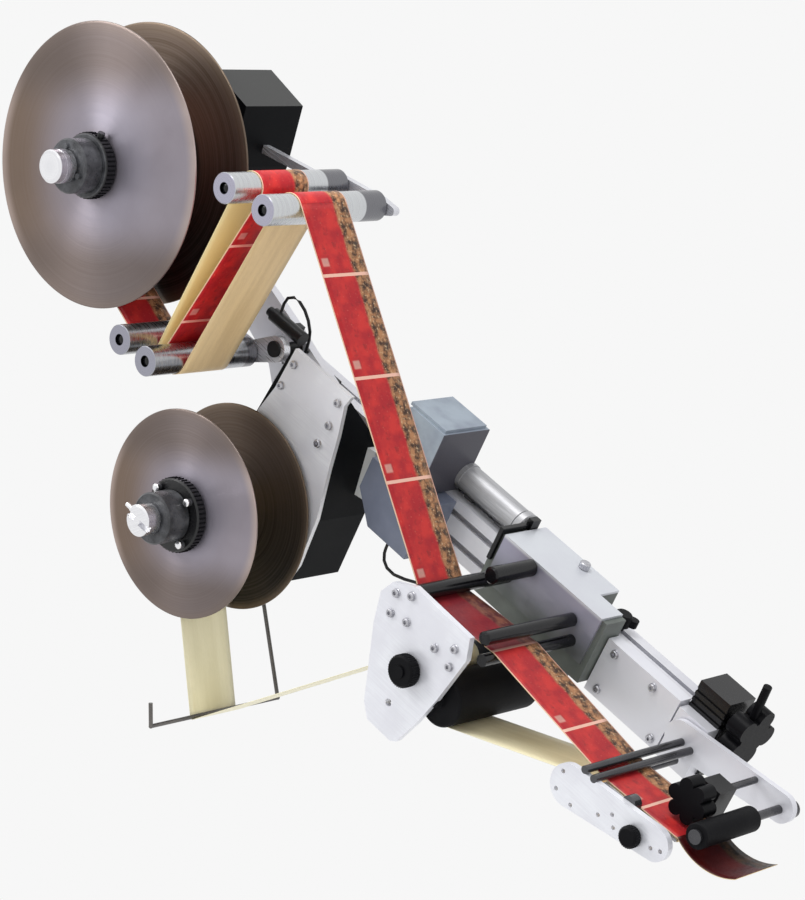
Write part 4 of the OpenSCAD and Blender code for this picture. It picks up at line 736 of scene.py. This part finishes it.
def lathe(name, profile, centre, material, body, steps=180, replaced=()):
    """A turned piece, whose profile of (radius, rear) runs from the axis round to the axis. The UV map runs
    outwards from the axis and round it, so that brushed metal catches the light as a turned face does."""
    mesh = bmesh.new()
    uv = mesh.loops.layers.uv.new("turning")
    rings = []
    for radius, rear in profile:
        ring = []
        for k in range(steps if radius > 0 else 1):
            a = 2 * math.pi * k / steps
            along, square = centre[0] + radius * math.cos(a), centre[1] + radius * math.sin(a)
            ring.append(mesh.verts.new(at(along, rear, square)))
        rings.append(ring)
    for i in range(len(rings) - 1):
        a, b = rings[i], rings[i + 1]
        for k in range(steps):
            n = (k + 1) % steps
            corners = [(a[k % len(a)], profile[i][0], k), (b[k % len(b)], profile[i + 1][0], k),
                (b[n % len(b)], profile[i + 1][0], k + 1), (a[n % len(a)], profile[i][0], k + 1)]
            if len(a) == 1:
                corners = corners[:3]
            if len(b) == 1:
                corners = corners[:2] + corners[3:]
            f = mesh.faces.new([c[0] for c in corners])
            f.smooth = True
            for loop, c in zip(f.loops, corners):
                loop[uv].uv = (c[1] / 200, c[2] / steps)
    bmesh.ops.recalc_face_normals(mesh, faces=mesh.faces)
    data = bpy.data.meshes.new(name)
    mesh.to_mesh(data)
    mesh.free()
    data.materials.append(material)
    piece = bpy.data.objects.new(name, data)
    bpy.context.collection.objects.link(piece)
    if replaced:
        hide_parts(*replaced)
    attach(piece, body)
    return piece


def disc_finish(name, centre, tones, size, rough=0.34, anisotropy=0.85, shaded=False):
    """Bronze-grey anodised discs, turned on both faces: fine rings, and a highlight that fans out from the hub.
    The tones are (far, near, rim). The far one lies away from the machine as a painted brown reflection, or low
    on a shaded disc as painted shade that darkens it towards the bottom. Front discs also get a painted
    highlight round the hub and painted shade above and below it towards the rim."""
    mat, tree, shader = new_finish(name, 0.8, rough, 0.5)
    shader.inputs["Anisotropic"].default_value = anisotropy
    tangent = tree.nodes.new("ShaderNodeTangent")
    tangent.direction_type = "UV_MAP"
    tangent.uv_map = "turning"
    tree.links.new(tangent.outputs[0], shader.inputs["Tangent"])
    rings = placed_group(tree, "turned", object_place(tree, (centre[0], 0, centre[1])), fineness=520.0)
    level = object_place(tree, (centre[0], 0, centre[1]), turned=False)
    marks = placed_group(tree, "grain", level, cloud_size=7.0)
    across, _, height = parts(tree, level)
    far, near, rim = tones
    share = size / 1000
    # Painted reflection: a brown tone on the side away from the machine; on a shaded disc, painted shade
    # darkening towards the bottom.
    side = ramp(tree, height if shaded else across, -0.85 * share, (0.95 if shaded else 0.2) * share)
    colour = mix_colour(tree, side, far, near)
    radius = rings.outputs["Radius"]
    colour = mix_colour(tree, ramp(tree, radius, 0.9 * share, 1.0 * share, 0, 0.75), colour, rim)
    if not shaded:
        # Painted highlight: a bluish glow round the hub.
        middle = maths(tree, "MULTIPLY", ramp(tree, radius, 0.16 * share, 0.3 * share),
            ramp(tree, radius, 0.3 * share, 0.75 * share, 1, 0))
        colour = mix_colour(tree, maths(tree, "MULTIPLY", middle, 0.3), colour, (0.42, 0.41, 0.52))
        # Painted shade: darker above and below the hub, towards the rim.
        outer_sector_shade = ramp(tree, maths(tree, "ABSOLUTE", height), 0.34 * share, 0.72 * share, 0, 0.85)
        colour = mix_colour(tree, outer_sector_shade, colour, (0.13, 0.1, 0.085))
    turning = rings.outputs["Rings"]
    colour = mix_colour(tree, ramp(tree, turning, 0.3, 0.75, 0, 0.1), colour, (0.5, 0.43, 0.42))
    colour = mix_colour(tree, ramp(tree, marks.outputs["Clouds"], 0, 1, 0, 0.14), colour, (0.1, 0.07, 0.06))
    dress(tree, shader, colour, turning, (rough - 0.03, rough + 0.05), 0.04)
    return mat


def make_disc(name, node, centre, front, radius, bore, material, body):
    """A disc with rounded rims, turned in the place of the frame's own."""
    t = DISC_T
    face = [(bore / 2, 0), (radius * 0.3, 0), (radius * 0.62, 0), (radius * 0.9, 0), (radius - 3.0, 0),
        (radius - 1.0, 0.15), (radius - 0.3, 0.45), (radius, 1.0)]
    profile = face + [(r, t - y) for r, y in reversed(face)] + face[:1]
    return lathe(name, [(r, front + y) for r, y in profile], centre, material, body, replaced=(node,))


# Finishes of the frame's own pieces

def paint_node(node, material):
    piece = frame["nodes"][node]
    piece.data.materials.clear()
    piece.data.materials.append(material)


ROLLER_TINTS = ((0.62, 0.64, 0.65), (0.57, 0.58, 0.6), (0.42, 0.41, 0.5))
DANCER_ROLLER_TINTS = ((0.44, 0.45, 0.47), (0.38, 0.39, 0.41), (0.34, 0.34, 0.4))


def roller_station(i):
    """Where the guide roller of a number from 1 turns, and where its front is. The dancer carries 3 and 4."""
    return STOPS[GUIDE_ROLLERS[i - 1]][:2], (ROLLER_FRONT if i < 3 else DANCER_ROLLER_FRONT)


def finish_frame():
    """Gives each of the frame's pieces its finish, and returns the finishes by slot."""
    black, deep_black = (0.006, 0.006, 0.007), (0.003, 0.003, 0.004)
    jet, deep_jet = (0.012, 0.012, 0.013), (0.007, 0.007, 0.008)
    slots = {
        "beam": satin("beam_extrusion", (0.8, 0.8, 0.83), (0.68, 0.68, 0.72), 0.36, 0.45, depth=0.1),
        "light_plate": satin("light_plates", (0.84, 0.85, 0.88), (0.74, 0.74, 0.78), 0.36, 0.3, depth=0.08),
        # The black housings get a paler painted highlight on their top faces.
        "black_housing": painted("black_housings", (0.007, 0.0075, 0.0085), (0.004, 0.0045, 0.0055), 0.5, 0.07,
            top_highlight=(0.075, 0.075, 0.073)),
        "black_trim": painted("black_trim", black, deep_black, 0.2, 0.35, depth=0.03),
        "black_knob": painted("black_knobs", black, deep_black, 0.4, 0.08),
        "carrier": turned("turned_carrier", (0.6, 0.6, 0.62), (0.45, 0.45, 0.47), (700, 0, -171), 0.3),
        "screws": turned("screw_steel", (0.55, 0.55, 0.58), (0.4, 0.4, 0.43), (0, 0, 0), 0.3, fineness=300.0),
        "bearing_steel": turned("bearing_rings", (0.6, 0.6, 0.62), (0.5, 0.5, 0.52), (0, 0, 0), 0.2),
        "shaft_steel": painted("polished_shafts", (0.1, 0.1, 0.105), (0.06, 0.06, 0.065), 0.2, 0.5, depth=0.03,
            metallic=0.7),
        "label_roll": turned("label_roll_side", (0.42, 0.05, 0.04), (0.62, 0.42, 0.3), (0, 0, 0), 0.5, 0.0,
            500.0),
        "liner_roll": turned("liner_roll_side", (0.6, 0.5, 0.26), (0.42, 0.33, 0.16), (REWIND[0], 0, REWIND[1]),
            0.5, 0.0, 500.0),
        "black_hub": hub_finish(),
        "bright_knob": turned("bright_knobs", (0.9, 0.9, 0.92), (0.8, 0.8, 0.83), (0, 0, 0), 0.22),
        "bracket": satin("roller_brackets", (0.8, 0.81, 0.84), (0.66, 0.66, 0.7), 0.3, 0.7, depth=0.1),
        "sensor": painted("sensors", jet, deep_jet, 0.35, 0.3),
        "connector": painted("connector_block", (0.8, 0.81, 0.8), (0.68, 0.69, 0.69), 0.35),
        "wire": painted("guide_wire", (0.17, 0.16, 0.15), (0.1, 0.095, 0.09), 0.25, metallic=0.8),
        "motor": tube("motor_tube", (0.36, 0.36, 0.37), (0.03, 0.03, 0.032), -106, 0.4, 0.5),
        "cable": painted("cable_jackets", jet, (0.008, 0.008, 0.009), 0.45, 0.3),
        "casing": painted("drive_casing", (0.15, 0.165, 0.15), (0.1, 0.11, 0.1), 0.4, 0.25),
        "panel": folded_sheet(),
        "rubber_roller": painted("rubber_rollers", (0.009, 0.009, 0.01), (0.005, 0.005, 0.006), 0.55, 0.08),
        "pressure_roller": painted("pressure_roller", (0.06, 0.06, 0.065), (0.035, 0.035, 0.04), 0.3,
            metallic=0.6),
        "blade": satin("peel_blade", (0.66, 0.66, 0.68), (0.5, 0.5, 0.52), 0.25, 0.95),
    }
    for part in frame["record"]["subparts"]:
        if part["material_slot"] in slots:
            paint_node(part["node"], slots[part["material_slot"]])
    control = painted("control_case", (0.2, 0.225, 0.3), (0.15, 0.17, 0.23), 0.42, 0.3, depth=0.35)
    paint_node("control_case", control)
    paint_node("gearbox_case", gearbox_finish())
    for i in range(1, 5):
        (along, square), front = roller_station(i)
        tints = ROLLER_TINTS if i < 3 else DANCER_ROLLER_TINTS
        paint_node(f"guide_roller_{i}", roller_finish(f"bright_roller_{i}", along, square, front, tints))
    return slots


# Discs, black plugs of painted shade, rims and screws

def make_mouth_shades(material):
    """A black plug a little way into each guide roller's mouth, a dark piece standing for the shade in it:
    painted shade.
    """
    for i in range(1, 5):
        centre, front = roller_station(i)
        profile = [(0, 0), (4.2, 0), (4.8, 0.4), (ROLLER_MOUTH_R, 0.4), (ROLLER_MOUTH_R, 1.4), (0, 1.4)]
        lathe(f"roller_seal_{i}", [(r, front + 2.2 + y) for r, y in profile], centre, material,
            f"roller_{i}", 48)


def make_pin_caps(material):
    """Bright caps on the driving pins of the rewinding hub."""
    front = PIN_FRONT - 1.2
    profile = [(0, front), (PIN_R * 0.6, front + 0.3), (PIN_R, front + 1.2), (PIN_R, front + 4.5),
        (0, front + 4.5)]
    for i in range(PIN_COUNT):
        a = math.radians(PIN_TURN + 360 * i / PIN_COUNT)
        centre = (REWIND[0] + PIN_CIRCLE * math.cos(a), REWIND[1] - PIN_CIRCLE * math.sin(a))
        lathe(f"pin_cap_{i + 1}", profile, centre, material, "rewind_flange", 32)


def make_reels():
    """The bronze-grey disc in front of each roll, and the dark one behind it."""
    bronze = ((0.19, 0.135, 0.1), (0.315, 0.285, 0.325), (0.5, 0.4, 0.36))
    # The rear disc's tones run from near black low down to brown higher up: painted shade.
    dark = ((0.012, 0.012, 0.01), (0.11, 0.078, 0.055), (0.15, 0.11, 0.075))
    bore = 20
    for name, centre, size in (("unwind", UNWIND, UNWIND_DISC_R), ("rewind", REWIND, REWIND_DISC_R)):
        front = disc_finish(name + "_front_finish", centre, bronze, size)
        rear = disc_finish(name + "_rear_finish", centre, dark, size, 0.42, 0.6, True)
        make_disc(name + "_front_disc_turned", name + "_front_disc", centre, -DISC_T, size, bore + 0.1, front,
            name + "_flange")
        make_disc(name + "_rear_disc_turned", name + "_rear_disc", centre, REEL_GAP, size, bore, rear,
            name + "_reel")


def new_growth(name, inputs):
    """A Geometry Nodes tree that takes a geometry, the given inputs and a finish, and gives a geometry."""
    tree = bpy.data.node_groups.new(name, "GeometryNodeTree")
    for label, kind, value in (("Geometry", "Geometry", None), *inputs, ("Finish", "Material", None)):
        sock = tree.interface.new_socket(label, in_out="INPUT", socket_type="NodeSocket" + kind)
        if value is not None:
            sock.default_value = value
    tree.interface.new_socket("Geometry", in_out="OUTPUT", socket_type="NodeSocketGeometry")
    return tree, tree.nodes.new("NodeGroupInput")


def close_growth(tree, gin, geometry):
    """Gives the grown geometry its finish, and hands it out of the tree."""
    finish = tree.nodes.new("GeometryNodeSetMaterial")
    tree.links.new(geometry, finish.inputs["Geometry"])
    tree.links.new(gin.outputs["Finish"], finish.inputs["Material"])
    tree.links.new(finish.outputs[0], tree.nodes.new("NodeGroupOutput").inputs[0])
    return tree


def rim_tree():
    """Geometry Nodes: a ring of straight ridges round an axis to the rear, as on a knurled rim."""
    tree, gin = new_growth("ridged_rim", (("Radius", "Float", 0.02), ("Length", "Float", 0.01),
        ("Ridges", "Int", 48), ("Ridge size", "Float", 0.0008), ("Middle", "Vector", None)))
    nodes, link = tree.nodes, tree.links.new
    circle = nodes.new("GeometryNodeMeshCircle")
    link(gin.outputs["Ridges"], circle.inputs["Vertices"])
    link(gin.outputs["Radius"], circle.inputs["Radius"])
    points = nodes.new("GeometryNodeMeshToPoints")
    link(circle.outputs[0], points.inputs["Mesh"])
    ridge = nodes.new("GeometryNodeMeshCylinder")
    ridge.inputs["Vertices"].default_value = 4
    link(gin.outputs["Ridge size"], ridge.inputs["Radius"])
    link(gin.outputs["Length"], ridge.inputs["Depth"])
    place = nodes.new("GeometryNodeInputPosition")
    x, y, _ = parts(tree, place.outputs[0])
    angle = maths(tree, "ARCTAN2", y, x)
    turn = nodes.new("ShaderNodeCombineXYZ")
    link(angle, turn.inputs[2])
    spread = nodes.new("GeometryNodeInstanceOnPoints")
    link(points.outputs[0], spread.inputs["Points"])
    link(ridge.outputs[0], spread.inputs["Instance"])
    link(turn.outputs[0], spread.inputs["Rotation"])
    whole = nodes.new("GeometryNodeRealizeInstances")
    link(spread.outputs[0], whole.inputs[0])
    set_in_place = nodes.new("GeometryNodeTransform")
    link(whole.outputs[0], set_in_place.inputs["Geometry"])
    set_in_place.inputs["Rotation"].default_value = (math.pi / 2, 0, 0)
    link(gin.outputs["Middle"], set_in_place.inputs["Translation"])
    return close_growth(tree, gin, set_in_place.outputs[0])


def washer_tree():
    """Geometry Nodes: a washer with a bevelled edge at each point, turned by a seeded angle."""
    tree, gin = new_growth("screw_washers", (("Width", "Float", 0.0108), ("Thickness", "Float", 0.0008),
        ("Seed", "Int", 5)))
    nodes, link = tree.nodes, tree.links.new
    points = nodes.new("GeometryNodeMeshToPoints")
    link(gin.outputs["Geometry"], points.inputs["Mesh"])
    washer = nodes.new("GeometryNodeMeshCone")
    washer.inputs["Vertices"].default_value = 28
    half = maths(tree, "MULTIPLY", gin.outputs["Width"], 0.5)
    link(maths(tree, "MULTIPLY", half, 0.93), washer.inputs["Radius Top"])
    link(half, washer.inputs["Radius Bottom"])
    link(gin.outputs["Thickness"], washer.inputs["Depth"])
    spin = nodes.new("FunctionNodeRandomValue")
    spin.data_type = "FLOAT"
    spin.inputs[3].default_value = math.pi
    link(gin.outputs["Seed"], spin.inputs["Seed"])
    turn = nodes.new("ShaderNodeCombineXYZ")
    turn.inputs[0].default_value = math.pi / 2
    link(spin.outputs[1], turn.inputs[1])
    spread = nodes.new("GeometryNodeInstanceOnPoints")
    link(points.outputs[0], spread.inputs["Points"])
    link(washer.outputs[0], spread.inputs["Instance"])
    link(turn.outputs[0], spread.inputs["Rotation"])
    whole = nodes.new("GeometryNodeRealizeInstances")
    link(spread.outputs[0], whole.inputs[0])
    return close_growth(tree, gin, whole.outputs[0])


def grown(name, tree, seed_mesh, slot, body, **values):
    """Runs a Geometry Nodes tree on a small starting mesh and keeps the result as a plain mesh."""
    start = bpy.data.objects.new(name + "_start", seed_mesh)
    bpy.context.collection.objects.link(start)
    modifier = start.modifiers.new("grow", "NODES")
    modifier.node_group = tree
    for item in tree.interface.items_tree:
        key = item.name.lower().replace(" ", "_")
        if item.in_out == "INPUT" and key in values:
            modifier[item.identifier] = values[key]
    bpy.context.view_layer.update()
    data = bpy.data.meshes.new_from_object(start.evaluated_get(bpy.context.evaluated_depsgraph_get()))
    bpy.data.objects.remove(start)
    piece = bpy.data.objects.new(name, data)
    bpy.context.collection.objects.link(piece)
    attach(piece, body)
    return piece


def point_mesh(name, points):
    data = bpy.data.meshes.new(name)
    data.from_pydata(points, [], [])
    return data


def make_rims(slots):
    """Knurled rims of the hubs and of the thumb knobs."""
    tree = rim_tree()

    def knob_middle(node, rear):
        middle = sum(map(Vector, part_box(node)), Vector()) / 2
        return Vector((middle.x, at(0, rear, 0).y, middle.z))

    rims = (("unwind_hub_rim", at(0, -12, 0), 0.039, 0.011, 44, 0.0012, "black_knob", "unwind_flange"),
        ("unwind_knob_rim", at(0, -58, 0), 0.02, 0.012, 64, 0.0005, "bright_knob", "unwind_clamp"),
        ("rewind_hub_rim", at(REWIND[0], -10.5, REWIND[1]), 0.044, 0.009, 50, 0.0012, "black_knob",
            "rewind_flange"),
        ("nip_knob_rim", knob_middle("nip_knob", -30.3), 0.018, 0.0115, 40, 0.0008, "black_knob",
            "nip_control"),
        ("peel_knob_rim", knob_middle("peel_knob", -26.3), 0.0115, 0.0078, 28, 0.0007, "black_knob",
            "peel_clamp"))
    for name, middle, radius, length, ridges, size, slot, body in rims:
        grown(name, tree, point_mesh(name + "_seed", [(0, 0, 0)]), slot, body, radius=radius, length=length,
            ridges=ridges, ridge_size=size, middle=tuple(middle), finish=slots[slot])


def islands(node):
    """The boxes of a node's separate solids, from its own mesh."""
    mesh = bmesh.new()
    mesh.from_mesh(frame["nodes"][node].data)
    bmesh.ops.remove_doubles(mesh, verts=mesh.verts, dist=1e-6)
    left, found = set(mesh.verts), []
    while left:
        heap, group = [left.pop()], []
        while heap:
            v = heap.pop()
            group.append(v.co.copy())
            for e in v.link_edges:
                other = e.other_vert(v)
                if other in left:
                    left.remove(other)
                    heap.append(other)
        found.append(tuple(Vector(f(p[i] for p in group) for i in range(3)) for f in (min, max)))
    mesh.free()
    return found


def make_washers(slots):
    """A washer under the head of each screw that stands to the front."""
    head, head_height = 0.009, 0.0036
    seats = []
    for low, high in islands("frame_screws"):
        size = high - low
        if abs(size.x - head) < 0.0008 and abs(size.z - head) < 0.0008:
            seats.append(((low.x + high.x) / 2, low.y + head_height, (low.z + high.z) / 2))
    grown("screw_washers", washer_tree(), point_mesh("washer_seats", seats), "screws", "frame",
        finish=slots["screws"])


make_camera()
make_world()
make_floor()
make_lights()
bpy.context.scene.view_settings.view_transform = "Standard"
finishes = finish_frame()
make_reels()
# Black plugs of painted shade in the guide rollers' mouths.
make_mouth_shades(finishes["black_trim"])
make_pin_caps(finishes["bright_knob"])
make_rims(finishes)
make_washers(finishes)
# Painted light and shade on the web: a painted shadow on the stretch just before the exit bar, painted lighter
# copies for the loop's print and the first stretch of its backing, and a painted darker copy for the free label.
under = line_lengths(web_line("roll", "exit"))[-1] / 1000
over_one = line_lengths(web_line("roll", "one"))[-1] / 1000
backing = ((0.9, 0.68, 0.38), (0.76, 0.55, 0.29))
make_web(label_finish(shadow_span=(under - 0.118, under)), label_finish("loop_label_print", 1.35),
    label_finish("free_label_print", 0.13), liner_finish("web_backing", *backing),
    liner_finish("loop_backing", *backing, (1.0, 0.86, 0.46), over_one + 0.02),
    liner_finish("bare_liner", (0.93, 0.87, 0.62), (0.83, 0.77, 0.52)))
